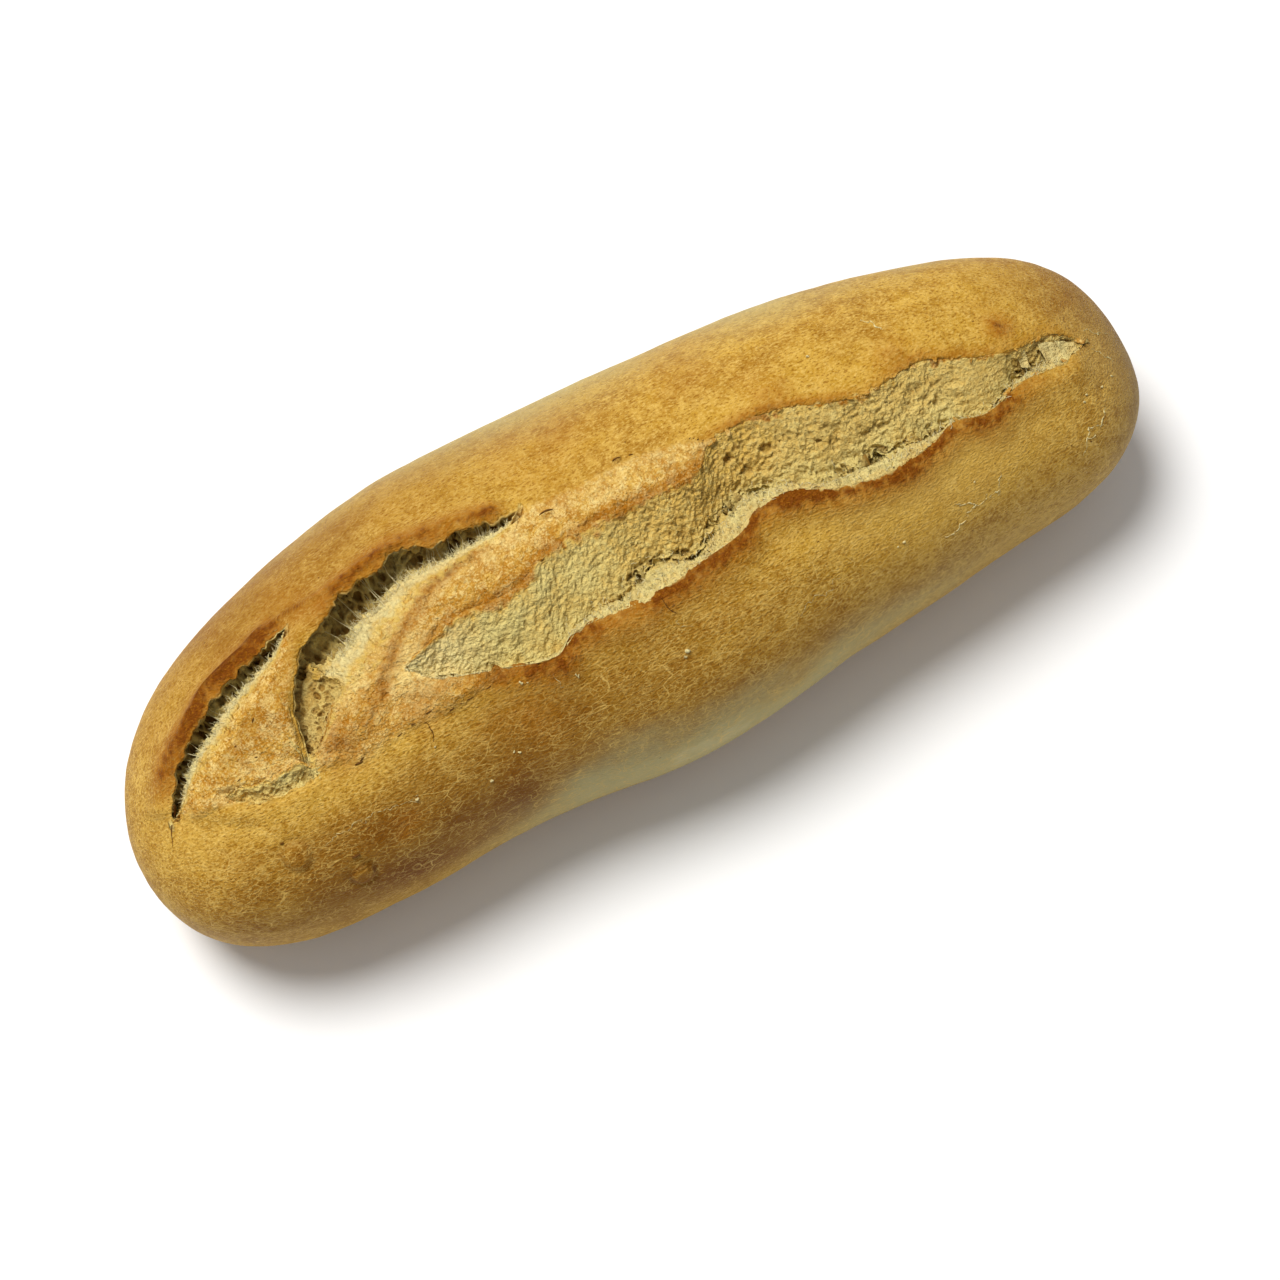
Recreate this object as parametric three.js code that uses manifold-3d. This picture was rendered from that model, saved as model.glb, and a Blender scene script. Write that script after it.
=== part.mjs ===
// A scored bread roll of the short baguette kind, baked free-standing on a tray.
//
// The roll is one solid. Its skin is a loft of closed cross-sections along X: a domed top, full
// flanks and a flat sole. Three overlapping scores burst open along the top in the oven. The first
// two open like a lip, with a deep gap under a crust edge and a baked tongue beside it. The third
// and longest is an open trench of torn crumb with a crevice along its near side.
//
// Millimetres, +Z up, +X along the roll, origin under the middle of its bounding box.

import * as THREE from 'three';
import { ImprovedNoise } from 'three/addons/math/ImprovedNoise.js';
import { mergeVertices } from 'three/addons/utils/BufferGeometryUtils.js';
import Module from 'manifold-3d';

// ---------------------------------------------------------------- driving dimensions

const LENGTH = 210;
const HEIGHT = 54;
const HALF = LENGTH / 2;

// Plan shape, at stations along X: half the width before the ends round it off, and the bend of
// the middle line towards +Y.
const STATIONS = [-HALF, -70, -35, 0, 35, 70, HALF];
const HALF_WIDTH = [46.2, 38.9, 36, 36.6, 34.3, 34, 38.2];
const MIDDLE_LINE = [-8.6, -2.7, 1.4, -0.2, 0.9, -0.2, -3.5];
const LEFT_END = { flat: 2.52, round: 2.09 };
const RIGHT_END = { flat: 2.51, round: 2.77 };
const CROWN_END = { flat: 2.6, round: 2.6 };
const SOLE_END = { flat: 5, round: 3 };

// Cross-section: the widest level as a share of the height, and how square the top and the
// underside are (2 is an ellipse). The underside is modelled a little too deep and the sole
// is then cut flat.
const WIDEST_LEVEL = 0.4;
const TOP_SQUARENESS = 2.35;
const UNDER_SQUARENESS = 2.9;
const SOLE_CUT = 2.5;

// Torn edges on the top, as [x, y] seen from above. Each is the crust edge over a gap, or the
// edge where baked dough or crumb begins.
const FIRST_LIP = [
  [-95.3, -7.3], [-93, -4.2], [-90.4, -0.3], [-87.1, 2.6], [-82.6, 5], [-78.2, 7.7],
  [-72, 9.5], [-66.9, 10.8], [-61.4, 13],
];
const FIRST_HEEL = [[-95.3, -8.2], [-89.9, -9.6], [-84.8, -10.7], [-77.6, -13.8], [-70.8, -14.1]];
const SECOND_LIP = [
  [-69.2, -10.6], [-68.1, -6.8], [-66.9, -1.2], [-63.2, 4], [-60.8, 6.7], [-55.5, 9.4], [-50.3, 12.3],
  [-46.8, 12.8], [-39.8, 14.4], [-34.4, 13.3], [-23.9, 11.5], [-18.7, 10.9], [-14.9, 12],
];
const TRENCH_TOP = [
  [-47, -5], [-41.5, -3.7], [-36, -2.1], [-22.5, -2.5], [-16, 0.6], [-3, 1.9], [15, 1.8], [20, 5.9],
  [33, 5.9], [42, 2.7], [50, 1.2], [62, 2.3], [70, -0.8], [78, -2.8], [88, -2.6], [94, -6.2],
];
const TRENCH_FLOOR = [
  [-47, -5.5], [-41.5, -9], [-22.5, -14.4], [-16, -11.4], [-5, -9.8], [2.5, -7.9], [9, -9.6], [18.5, -4],
  [27.5, -5.3], [35, -8.6], [46, -8.7], [60, -10.1], [69, -10.4], [78, -6.7], [94, -6.2],
];
const TRENCH_LIP = [
  [-47, -5], [-43, -9.4], [-33, -12.9], [-22.5, -15.8], [-16.6, -13.5], [-5, -14.2], [9.5, -12.8],
  [16.8, -11.6], [21, -9.2], [28.5, -9], [36, -12], [46, -13.5], [56, -12.2], [61.5, -10.6], [68, -11.6],
  [77, -9], [86, -8.7], [94, -6.2],
];

// Gaps under the lips of the first two scores: the distance from the crust edge to the deepest
// line, how far the gap runs back under the crust, its depth, and how far the torn crumb takes
// to climb to the baked tongue.
const FIRST_GAP = { width: 1.6, undercut: 1.3, depth: 6, climb: 4 };
const SECOND_GAP = { width: 2.6, undercut: 2, depth: 8, climb: 6 };

const TONGUE_CROWN = 1;
const TONGUE_WIDTH = 18;
const RIM_RISE = 1.3;
const RIM_WIDTH = 3;
const HEEL_DEPTH = 2;
const HEEL_WIDTH = 3.4;
const TRENCH_DEPTH = 5.6;
const TRENCH_EDGE = 0.6;
const LEDGE_DEPTH = 2;
const CRAG = 0.7;
const SKIN_WAVE = 0.35;

// Where the mesh lines of the torn edges run on beside the scores, before and after the edges
// above, as [x, y].
const FIRST_LINE_START = [[-105, -9]];
const FIRST_LINE_END = [[-50, 25], [-20, 27], [18, 30], [50, 26], [85, 17], [105, 12]];
const HEEL_LINE_START = [[-105, -11]];
const HEEL_LINE_END = [
  [-69.2, -8.6], [-67, 3], [-63, 7.5], [-50, 15.5], [-15, 15], [18, 20], [85, 10], [105, 7],
];
const SECOND_LINE_START = [[-105, -16], [-76, -16], [-70.8, -15.3]];
const SECOND_LINE_END = [[0, 13], [18, 16.5], [40, 15], [85, 6], [105, 3]];
const TRENCH_LINE_START = [[-105, -19], [-72, -18.5], [-66, -14]];
const TRENCH_LINE_END = [[105, -7]];
const FLOOR_BELOW_TOP = 2;
const LIP_BELOW_TOP = 3.8;

// Mesh density. Rings crowd towards the ends and towards the place where the second lip turns
// across the roll.
const RINGS = 93;
const LIP_TURN = { x: -67, reach: 8, pull: 0.55 };
const FLANK_COLUMNS = 7;
const UNDER_ANGLES = [8, 17, 27, 38, 50, 62, 73, 90, 107, 118, 130, 142, 153, 163, 172];
const TOP_REACH = 0.9;
const LEAST_GAP = 0.35;
const LEAST_STEP = 0.08;
const MOST_SLANT = 3.2;

// ---------------------------------------------------------------- small mathematics

const clamp = THREE.MathUtils.clamp;
const smooth = THREE.MathUtils.smoothstep;
const bell = (distance, width) => Math.exp(-((distance / width) ** 2));
const signedPower = (value, power) => Math.sign(value) * Math.abs(value) ** power;

// A smooth curve through the points (xs[i], ys[i]), level beyond its ends.
function through(xs, ys) {
  const last = xs.length - 1;
  const slopes = xs.map((_, i) => {
    const a = Math.max(i - 1, 0);
    const b = Math.min(i + 1, last);
    return (ys[b] - ys[a]) / (xs[b] - xs[a]);
  });
  return (value) => {
    const x = clamp(value, xs[0], xs[last]);
    const i = clamp(xs.findIndex((knot) => knot > x) - 1, 0, last - 1) || (x >= xs[last] ? last - 1 : 0);
    const step = xs[i + 1] - xs[i];
    const t = (x - xs[i]) / step;
    return (
      (2 * t ** 3 - 3 * t ** 2 + 1) * ys[i] + (t ** 3 - 2 * t ** 2 + t) * step * slopes[i] +
      (3 * t ** 2 - 2 * t ** 3) * ys[i + 1] + (t ** 3 - t ** 2) * step * slopes[i + 1]
    );
  };
}

const throughPoints = (points) => through(points.map(([x]) => x), points.map(([, y]) => y));

// The signed distance from an edge, positive on its near side, and how far along the edge.
function edgeFinder(points) {
  const curve = new THREE.SplineCurve(points.map(([x, y]) => new THREE.Vector2(x, y)));
  const steps = 160;
  const line = curve.getSpacedPoints(steps);
  return (x, y) => {
    let best = Infinity;
    let at = 0;
    line.forEach((point, i) => {
      const distance = Math.hypot(x - point.x, y - point.y);
      if (distance < best) {
        best = distance;
        at = i;
      }
    });
    const before = line[Math.max(at - 1, 0)];
    const after = line[Math.min(at + 1, steps)];
    const side = (after.x - before.x) * (y - before.y) - (after.y - before.y) * (x - before.x);
    return { distance: side > 0 ? -best : best, along: at / steps };
  };
}

const noiseField = new ImprovedNoise();
const noise = (x, y, z, size) => noiseField.noise(x / size + 7.3, y / size + 3.1, z / size + 5.7);

// ---------------------------------------------------------------- the unscored roll

const halfWidthAt = through(STATIONS, HALF_WIDTH);
const middleAt = through(STATIONS, MIDDLE_LINE);

const endCap = (share, end) => (1 - share ** end.flat) ** (1 / end.round);

// The size and place of the cross-section at x.
function sectionAt(x) {
  const share = Math.min(Math.abs(x) / HALF, 1);
  const plan = endCap(share, x < 0 ? LEFT_END : RIGHT_END);
  const [crown, sole] = [endCap(share, CROWN_END), endCap(share, SOLE_END)];
  return { x, middle: middleAt(x), halfWidth: halfWidthAt(x) * plan, crown, sole };
}

// The point of a cross-section at an angle from the far side (0) over the top (90 degrees).
function skinPoint(section, angle) {
  const cosine = Math.cos(angle);
  const sine = Math.sin(angle);
  const power = 2 / (sine >= 0 ? TOP_SQUARENESS : UNDER_SQUARENESS);
  const level = WIDEST_LEVEL * HEIGHT;
  const reach = sine >= 0 ? (HEIGHT - level) * section.crown : (level + SOLE_CUT) * section.sole;
  return new THREE.Vector3(
    section.x,
    section.middle + section.halfWidth * signedPower(cosine, power),
    level + reach * signedPower(sine, power),
  );
}

// The angle at which the top of a cross-section passes over y.
function angleOver(section, y) {
  const share = clamp((y - section.middle) / section.halfWidth, -1, 1);
  return Math.acos(signedPower(share, TOP_SQUARENESS / 2));
}

// ---------------------------------------------------------------- the scores

const firstLip = edgeFinder(FIRST_LIP);
const secondLip = edgeFinder(SECOND_LIP);
const firstHeelAt = throughPoints(FIRST_HEEL);
const trenchTopAt = throughPoints(TRENCH_TOP);
const trenchFloorAt = throughPoints(TRENCH_FLOOR);
const trenchLipAt = throughPoints(TRENCH_LIP);

const LEFT_ALONE = { across: 0, level: 0 };
const GAP_SPAN = 2;
const WALL_DROP = 1.2;

// A score that opened under its crust edge: a raised rim, the edge, the gap that runs back under
// it, then torn crumb that climbs to the tongue. Returns the shift across and the change in level.
function lippedScore(find, gap, x, y) {
  const { distance, along } = find(x, y);
  const ends = smooth(along, 0, 0.08) * (1 - smooth(along, 0.86, 1));
  if (ends === 0 || distance > TONGUE_WIDTH || distance < -4 * RIM_WIDTH) return LEFT_ALONE;
  const rim = RIM_RISE * bell(distance + 0.8 * RIM_WIDTH, RIM_WIDTH) * (distance < 0 ? 1 : 0.4);
  if (distance <= 0) return { across: 0, level: rim * ends };
  const floorPlace = 0.4 * gap.width;
  if (distance < GAP_SPAN) {
    const t = distance / GAP_SPAN;
    const place = -gap.undercut * Math.sin(Math.PI * t) + floorPlace * t ** 2;
    return { across: (place - distance) * ends, level: (rim - gap.depth * t ** WALL_DROP) * ends };
  }
  const t = clamp((distance - GAP_SPAN) / gap.climb, 0, 1);
  const shift = (floorPlace - GAP_SPAN) * (1 - smooth(t, 0, 1));
  const heel = 1 - smooth(distance, 0.6 * TONGUE_WIDTH, TONGUE_WIDTH);
  const tongue = TONGUE_CROWN * smooth(t, 0.5, 1) * heel;
  return { across: shift * ends, level: (tongue - gap.depth * (1 - t) ** 1.7) * ends };
}

// The short tear along the near side of the first tongue.
function heelTear(x, y) {
  const along = smooth(x, -86, -80) * (1 - smooth(x, -72, -69));
  const inside = y - firstHeelAt(x);
  const rim = 0.6 * bell(inside + RIM_WIDTH, RIM_WIDTH) * (inside < 0 ? 1 : 0);
  const floor = inside > 0 && inside < HEEL_WIDTH ? -HEEL_DEPTH * (1 - inside / HEEL_WIDTH) ** 0.7 : 0;
  return (rim + floor) * along;
}

// The open trench of the third score: torn crumb that falls to the crevice, and a ledge of crumb
// between the crevice and the near crust edge.
function trench(x, y) {
  const along = smooth(x, -47, -41) * (1 - smooth(x, 88, 94));
  const top = trenchTopAt(x);
  const floor = trenchFloorAt(x);
  const lip = trenchLipAt(x);
  if (along === 0 || y > top + 3 * RIM_WIDTH || y < lip - 4 * RIM_WIDTH) return 0;
  if (y >= top) return 0.6 * RIM_RISE * bell(y - top - 0.6 * RIM_WIDTH, RIM_WIDTH) * along;
  if (y <= lip) return RIM_RISE * bell(lip - y - 0.9 * RIM_WIDTH, RIM_WIDTH) * along;
  if (y >= floor) {
    const fall = (top - y) / (top - floor);
    const steepness = THREE.MathUtils.lerp(1.2, 2.4, smooth(x, 5, 30));
    return -(TRENCH_EDGE + (TRENCH_DEPTH - TRENCH_EDGE) * fall ** steepness) * along;
  }
  const rise = (floor - y) / (floor - lip);
  const crevice = (TRENCH_DEPTH - LEDGE_DEPTH - TRENCH_EDGE) * (1 - rise) ** 4;
  return -(TRENCH_EDGE + LEDGE_DEPTH * (1 - rise) + crevice) * along;
}

// How much of a crag a place on the top takes: torn crumb is rough and baked tongues half as rough.
function roughness(x, y) {
  const inTrench = y < trenchTopAt(x) && y > trenchLipAt(x) && x > -47 && x < 94;
  if (inTrench) return 1;
  const first = firstLip(x, y).distance;
  const second = secondLip(x, y).distance;
  const onFirst = x > -94 && x < -66 && first > 0 && y > firstHeelAt(x) && second < 0;
  const onSecond = x > -69 && x < -15 && second > 0 && second < TONGUE_WIDTH && y > -14;
  return onFirst || onSecond ? 0.5 : 0;
}

// Moves a point of the skin's top to its place on the scored roll.
function scored(point) {
  const first = lippedScore(firstLip, FIRST_GAP, point.x, point.y);
  const second = lippedScore(secondLip, SECOND_GAP, point.x, point.y);
  const crags = noise(point.x, point.y, 0, 2.3) + noise(point.x, point.y, 9, 5);
  const crag = CRAG * roughness(point.x, point.y) * crags;
  const across = first.across + second.across;
  const level = first.level + second.level + heelTear(point.x, point.y) + trench(point.x, point.y) + crag;
  return new THREE.Vector3(point.x, point.y - across, point.z + level);
}

// ---------------------------------------------------------------- the loft

const lowered = (points, drop) => points.map(([x, y]) => [x, y - drop]);
const meshLine = (before, edge, after) => throughPoints([...before, ...edge, ...after]);
const trenchLine = (edge, drop) =>
  meshLine(lowered(TRENCH_LINE_START, drop), edge, lowered(TRENCH_LINE_END, drop));
const firstLine = meshLine(FIRST_LINE_START, FIRST_LIP, FIRST_LINE_END);
const heelLine = meshLine(HEEL_LINE_START, FIRST_HEEL, HEEL_LINE_END);
const secondLine = meshLine(SECOND_LINE_START, SECOND_LIP, SECOND_LINE_END);
const trenchTopLine = trenchLine(TRENCH_TOP, 0);
const trenchFloorLine = trenchLine(TRENCH_FLOOR, FLOOR_BELOW_TOP);
const trenchLipLine = trenchLine(TRENCH_LIP, LIP_BELOW_TOP);
const LINES = [firstLine, heelLine, secondLine, trenchTopLine, trenchFloorLine, trenchLipLine];

// How much wider a band across a line is when it is crossed along y instead of squarely.
const slant = (line, x) => Math.min(Math.hypot(1, line(x + 0.5) - line(x - 0.5)), MOST_SLANT);

// Columns from one line down to the next: some at set steps below the upper line, some at set
// steps above the lower one, drawn closer where there is no room for them all.
function columnsBetween(upper, lower, stepsDown, stepsUp) {
  const wanted = Math.max(...stepsDown, 0) + Math.max(...stepsUp, 0) + LEAST_GAP;
  const scale = Math.min(1, Math.max(upper - lower, 0.1) / wanted);
  const below = stepsDown.map((step) => upper - step * scale);
  const above = stepsUp.map((step) => lower + step * scale);
  return [upper, ...below, ...above];
}

// The places y at which columns cross the top at x, from far to near.
function topColumns(x) {
  const lines = LINES.map((line) => line(x));
  for (let i = 1; i < lines.length; i += 1) {
    lines[i] = Math.min(lines[i], lines[i - 1] - LEAST_GAP);
  }
  const [first, heel, second, top, floor, lip] = lines;
  const belowFirst = [0.7, 1.3, 2, 3.4, 5.4].map((step) => step * slant(firstLine, x));
  const belowSecond = [0.7, 1.3, 2, 3.4, 5.4, 8].map((step) => step * slant(secondLine, x));
  const fall = top - floor;
  const rise = floor - lip;
  const columns = [
    first + 7, first + 2.6,
    ...columnsBetween(first, heel, belowFirst, [HEEL_WIDTH, 1.4]),
    ...columnsBetween(heel, second, [0.3], [1.2]),
    ...columnsBetween(second, top, belowSecond, [2.4]),
    top, top - 0.04 * fall, top - 0.3 * fall, top - 0.55 * fall, top - 0.8 * fall,
    floor, floor - 0.15 * rise, floor - 0.5 * rise, lip + 0.04 * rise,
    lip, lip - 2.6, lip - 6.5,
  ];
  for (let i = 1; i < columns.length; i += 1) {
    columns[i] = Math.min(columns[i], columns[i - 1] - LEAST_STEP);
  }
  return columns;
}

// One closed ring of points of the roll's skin at x.
function ring(x) {
  const section = sectionAt(x);
  const reach = TOP_REACH * section.halfWidth;
  const wanted = topColumns(x);
  const last = wanted.length - 1;
  const far = Math.min(wanted[0], section.middle + reach);
  const near = Math.max(wanted[last], section.middle - reach);
  const fitted = wanted.map((y) => THREE.MathUtils.mapLinear(y, wanted[last], wanted[0], near, far));
  const top = fitted.map((y) => angleOver(section, y));
  const angles = [];
  for (let i = 0; i < FLANK_COLUMNS; i += 1) angles.push((top[0] * i) / FLANK_COLUMNS);
  angles.push(...top);
  for (let i = 1; i <= FLANK_COLUMNS; i += 1) {
    angles.push(THREE.MathUtils.lerp(top[last], Math.PI, i / FLANK_COLUMNS));
  }
  angles.push(...UNDER_ANGLES.map((degrees) => Math.PI + THREE.MathUtils.degToRad(degrees)));
  return angles.map((angle, i) => {
    const point = skinPoint(section, angle);
    const onTop = i >= FLANK_COLUMNS && i <= FLANK_COLUMNS + last;
    point.z += SKIN_WAVE * noise(point.x, point.y, point.z, 24) * section.crown;
    return onTop ? scored(point) : point;
  });
}

// A closed geometry from a row of rings and a pole beyond each end.
function loft(rings, firstPole, lastPole) {
  const around = rings[0].length;
  const points = [...rings.flat(), firstPole, lastPole];
  const faces = [];
  rings.slice(1).forEach((_, r) => {
    for (let i = 0; i < around; i += 1) {
      const a = r * around + i;
      const b = r * around + ((i + 1) % around);
      faces.push(a, b, b + around, a, b + around, a + around);
    }
  });
  const lastStart = (rings.length - 1) * around;
  for (let i = 0; i < around; i += 1) {
    const next = (i + 1) % around;
    faces.push(points.length - 2, next, i, points.length - 1, lastStart + i, lastStart + next);
  }
  const geometry = new THREE.BufferGeometry().setFromPoints(points);
  geometry.setIndex(faces);
  return geometry;
}

function rollSkin() {
  const rings = [];
  for (let i = 0; i < RINGS; i += 1) {
    const share = (i + 0.6) / (RINGS + 0.2);
    const x = HALF * THREE.MathUtils.lerp(2 * share - 1, Math.sin(Math.PI * (share - 0.5)), 0.62);
    rings.push(ring(x - LIP_TURN.pull * (x - LIP_TURN.x) * bell(x - LIP_TURN.x, LIP_TURN.reach)));
  }
  const pole = (side) => new THREE.Vector3(side * HALF, middleAt(side * HALF), WIDEST_LEVEL * HEIGHT);
  return loft(rings, pole(-1), pole(1));
}

// ---------------------------------------------------------------- cutting the sole flat

const wasm = await Module();
wasm.setup();

function toSolid(geometry) {
  const bare = geometry.clone();
  bare.deleteAttribute('normal');
  bare.deleteAttribute('uv');
  const merged = mergeVertices(bare, 1e-4);
  return new wasm.Manifold(
    new wasm.Mesh({
      numProp: 3,
      vertProperties: merged.attributes.position.array,
      triVerts: new Uint32Array(merged.index.array),
    }),
  );
}

function toGeometry(solid) {
  const mesh = solid.getMesh();
  const geometry = new THREE.BufferGeometry();
  geometry.setAttribute('position', new THREE.BufferAttribute(mesh.vertProperties, 3));
  geometry.setIndex(new THREE.BufferAttribute(mesh.triVerts, 1));
  geometry.computeVertexNormals();
  return geometry;
}

function breadRoll() {
  const tray = new THREE.BoxGeometry(2 * LENGTH, LENGTH, HEIGHT).translate(0, 0, -HEIGHT / 2);
  const crust = new THREE.MeshStandardMaterial({ color: 0xc48d42, roughness: 0.62, metalness: 0 });
  const geometry = toGeometry(toSolid(rollSkin()).subtract(toSolid(tray)));
  geometry.computeBoundingBox();
  const { min, max } = geometry.boundingBox;
  geometry.translate(-(min.x + max.x) / 2, -(min.y + max.y) / 2, -min.z);
  const roll = new THREE.Mesh(geometry, crust);
  roll.name = 'bread_roll';
  return roll;
}

const object = new THREE.Group();
object.add(breadRoll());

export default object;
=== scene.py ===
# %% [markdown]
# # A scored bread roll
#
# This notebook dresses one long white roll of the half-baguette kind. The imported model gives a
# plain solid of the right size. Here it gets its crust, its torn scores, its crumb and its
# colours. Each step first says what the real thing is and how it could be made, and then makes it.
#
# The roll lies along X. Its far side is +Y and its scored top is +Z. All shaping is worked out in
# millimetres, and the meshes are written in metres.

# %% Load the frame
import math
import random

import bpy
import numpy as np
from mathutils import Euler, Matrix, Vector, noise
from mathutils.bvhtree import BVHTree


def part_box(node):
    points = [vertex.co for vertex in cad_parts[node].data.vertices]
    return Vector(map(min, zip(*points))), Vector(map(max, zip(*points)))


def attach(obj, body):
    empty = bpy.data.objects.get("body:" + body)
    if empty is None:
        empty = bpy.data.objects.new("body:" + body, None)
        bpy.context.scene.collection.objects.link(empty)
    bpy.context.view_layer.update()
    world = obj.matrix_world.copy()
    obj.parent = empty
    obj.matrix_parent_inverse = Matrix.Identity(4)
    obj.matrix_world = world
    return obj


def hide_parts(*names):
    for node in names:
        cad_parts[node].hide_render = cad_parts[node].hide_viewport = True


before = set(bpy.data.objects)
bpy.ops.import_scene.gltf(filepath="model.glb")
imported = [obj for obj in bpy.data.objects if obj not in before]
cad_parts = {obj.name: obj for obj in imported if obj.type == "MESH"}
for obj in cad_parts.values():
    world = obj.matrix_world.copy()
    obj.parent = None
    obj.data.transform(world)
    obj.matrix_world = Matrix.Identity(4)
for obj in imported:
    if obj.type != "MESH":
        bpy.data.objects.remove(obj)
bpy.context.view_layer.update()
MM = 0.001
roll_low, roll_high = (np.array(corner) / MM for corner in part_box("bread_roll"))
LENGTH = roll_high[0] - roll_low[0]
HALF = LENGTH / 2
print(f"the roll is {LENGTH:.1f} mm long and {roll_high[1] - roll_low[1]:.1f} mm wide")

# %% [markdown]
# ## The camera
#
# The roll is seen from above and a little from its near left, through a lens long enough to keep
# both ends at nearly the same scale. It is placed by the bearing and the height it looks from,
# which are easier to think of than its coordinates.

# %% Place the camera
# The two directions are in degrees, and all the rest is in millimetres.
VIEW_FROM, VIEW_HEIGHT = -28.4, 74.0
CAMERA_DISTANCE = 470.0
LOOK_AT = Vector((-4.13, -12.56, 22.0))
LENS, SENSOR_WIDTH = 70.5, 36.0
NEAREST_SEEN = 10.0


def direction_from(azimuth, elevation):
    """The direction towards a place at this bearing and height, in degrees. 0 is the near side."""
    a, e = math.radians(azimuth), math.radians(elevation)
    return Vector((math.sin(a) * math.cos(e), -math.cos(a) * math.cos(e), math.sin(e)))


def place_camera():
    towards_camera = direction_from(VIEW_FROM, VIEW_HEIGHT)
    data = bpy.data.cameras.new("camera")
    data.lens = LENS
    data.sensor_width = SENSOR_WIDTH
    data.clip_start = NEAREST_SEEN * MM
    camera = bpy.data.objects.new("camera", data)
    camera.location = (LOOK_AT + towards_camera * CAMERA_DISTANCE) * MM
    camera.rotation_euler = (-towards_camera).to_track_quat("-Z", "Y").to_euler()
    bpy.context.scene.collection.objects.link(camera)
    bpy.context.scene.camera = camera
    return camera


camera = place_camera()
print("camera at", [round(c, 3) for c in camera.location])

# %% [markdown]
# ## Small helpers for shaping
#
# Dough has no straight lines, so nearly every shape here comes from a few smooth curves through
# given points, and from soft noise. These helpers are the whole toolbox. They work on arrays, so
# that a mesh of a hundred thousand points is shaped in a moment.

# %% Curves, steps and bells
def through(points):
    """A smooth curve y(x) through the points, level beyond its ends."""
    xs, ys = np.array(points, float).T
    before = np.maximum(np.arange(len(xs)) - 1, 0)
    after = np.minimum(np.arange(len(xs)) + 1, len(xs) - 1)
    slopes = (ys[after] - ys[before]) / (xs[after] - xs[before])

    def curve(x):
        x = np.clip(x, xs[0], xs[-1])
        i = np.clip(np.searchsorted(xs, x, side="right") - 1, 0, len(xs) - 2)
        step = xs[i + 1] - xs[i]
        t = (x - xs[i]) / step
        return ((2 * t**3 - 3 * t**2 + 1) * ys[i] + (t**3 - 2 * t**2 + t) * step * slopes[i]
                + (3 * t**2 - 2 * t**3) * ys[i + 1] + (t**3 - t**2) * step * slopes[i + 1])

    return curve


def smooth(x, low, high):
    """0 below low, 1 above high and an easy climb between them."""
    t = np.clip((x - low) / (high - low), 0, 1)
    return t * t * (3 - 2 * t)


def between(x, rise, full, fade, end):
    """0 up to rise, 1 from full to fade, and 0 again from end on."""
    return smooth(x, rise, full) * (1 - smooth(x, fade, end))


def bell(distance, width):
    """1 at a distance of 0, and next to nothing beyond twice the width."""
    return np.exp(-((distance / width) ** 2))


def lerp(a, b, t):
    """From a, at t = 0, to b, at t = 1."""
    return a + (b - a) * t


def signed_power(value, power):
    """A power that keeps the sign of its value."""
    return np.sign(value) * np.abs(value) ** power


# %% Noise and cells
def on_plan(x, y=0.0):
    """Places seen from above, all at one level, at which a pattern can be read."""
    return np.stack([x, y + 0 * x, 0 * x], axis=-1)


def ripple(points, size, seed=0):
    """Soft noise from -1 to 1 at each point, with lumps about size mm across."""
    shift = Vector((7.3 + 11.1 * seed, 3.1 + 5.7 * seed, 5.7 + 2.9 * seed))
    scaled = np.asarray(points, float) / size
    return np.array([noise.noise(Vector(p) + shift) for p in scaled.tolist()])


def foam(points, size, seed=0):
    """Foam cells about size mm across. At each point: how far inside its cell it is, from 0 on
    the wall, and the cell's own random number."""
    shift = Vector((1.3 * seed, 4.1 * seed, 2.7 * seed))
    scaled = np.asarray(points, float) / size
    found = [noise.voronoi(Vector(p) + shift) for p in scaled.tolist()]
    gaps = np.array([distances[:2] for distances, _ in found])
    centres = np.array([list(cell[0]) for _, cell in found])
    label = np.abs(np.sin(centres @ (12.9898, 78.233, 37.719)) * 43758.5453) % 1
    return gaps[:, 1] - gaps[:, 0], label


def ripples(points, waves):
    """Several ripples added up. Each wave is its height and its length in mm, and its seed."""
    return sum(height * ripple(points, size, seed) for height, size, seed in waves)


print("helpers ready")

# %% [markdown]
# ## The unscored loaf
#
# A roll proves as a soft cylinder and bakes with a domed top, full flanks and a flat sole. It is
# described by its slices: each slice along X has a width, a middle and a height, and an outline
# that is a rounded square. A handful of numbers gives the width and the bend along the length.

# %% Slices of the loaf
HEIGHT = 54.0
HALF_WIDTH = [(-HALF, 46.2), (-70, 38.9), (-35, 36.0), (0, 36.6), (35, 34.3), (70, 34.0), (HALF, 38.2)]
MIDDLE_LINE = [(-HALF, -8.6), (-70, -2.7), (-35, 1.4), (0, -0.2), (35, 0.9), (70, -0.2), (HALF, -3.5)]
LEFT_END = (2.52, 2.09)
RIGHT_END = (2.51, 2.77)
CROWN_END = (2.6, 2.6)
SOLE_END = (5.0, 3.0)
WIDEST_LEVEL = 0.4 * HEIGHT
TOP_SQUARENESS = 2.35
UNDER_SQUARENESS = 2.9
SOLE_CUT = 2.5

half_width_before_ends = through(HALF_WIDTH)
middle_of = through(MIDDLE_LINE)


def rounded(share, end):
    return (1 - np.minimum(share, 1) ** end[0]) ** (1 / end[1])


def half_width_of(x):
    share = np.abs(x) / HALF
    return half_width_before_ends(x) * np.where(x < 0, rounded(share, LEFT_END), rounded(share, RIGHT_END))


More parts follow.
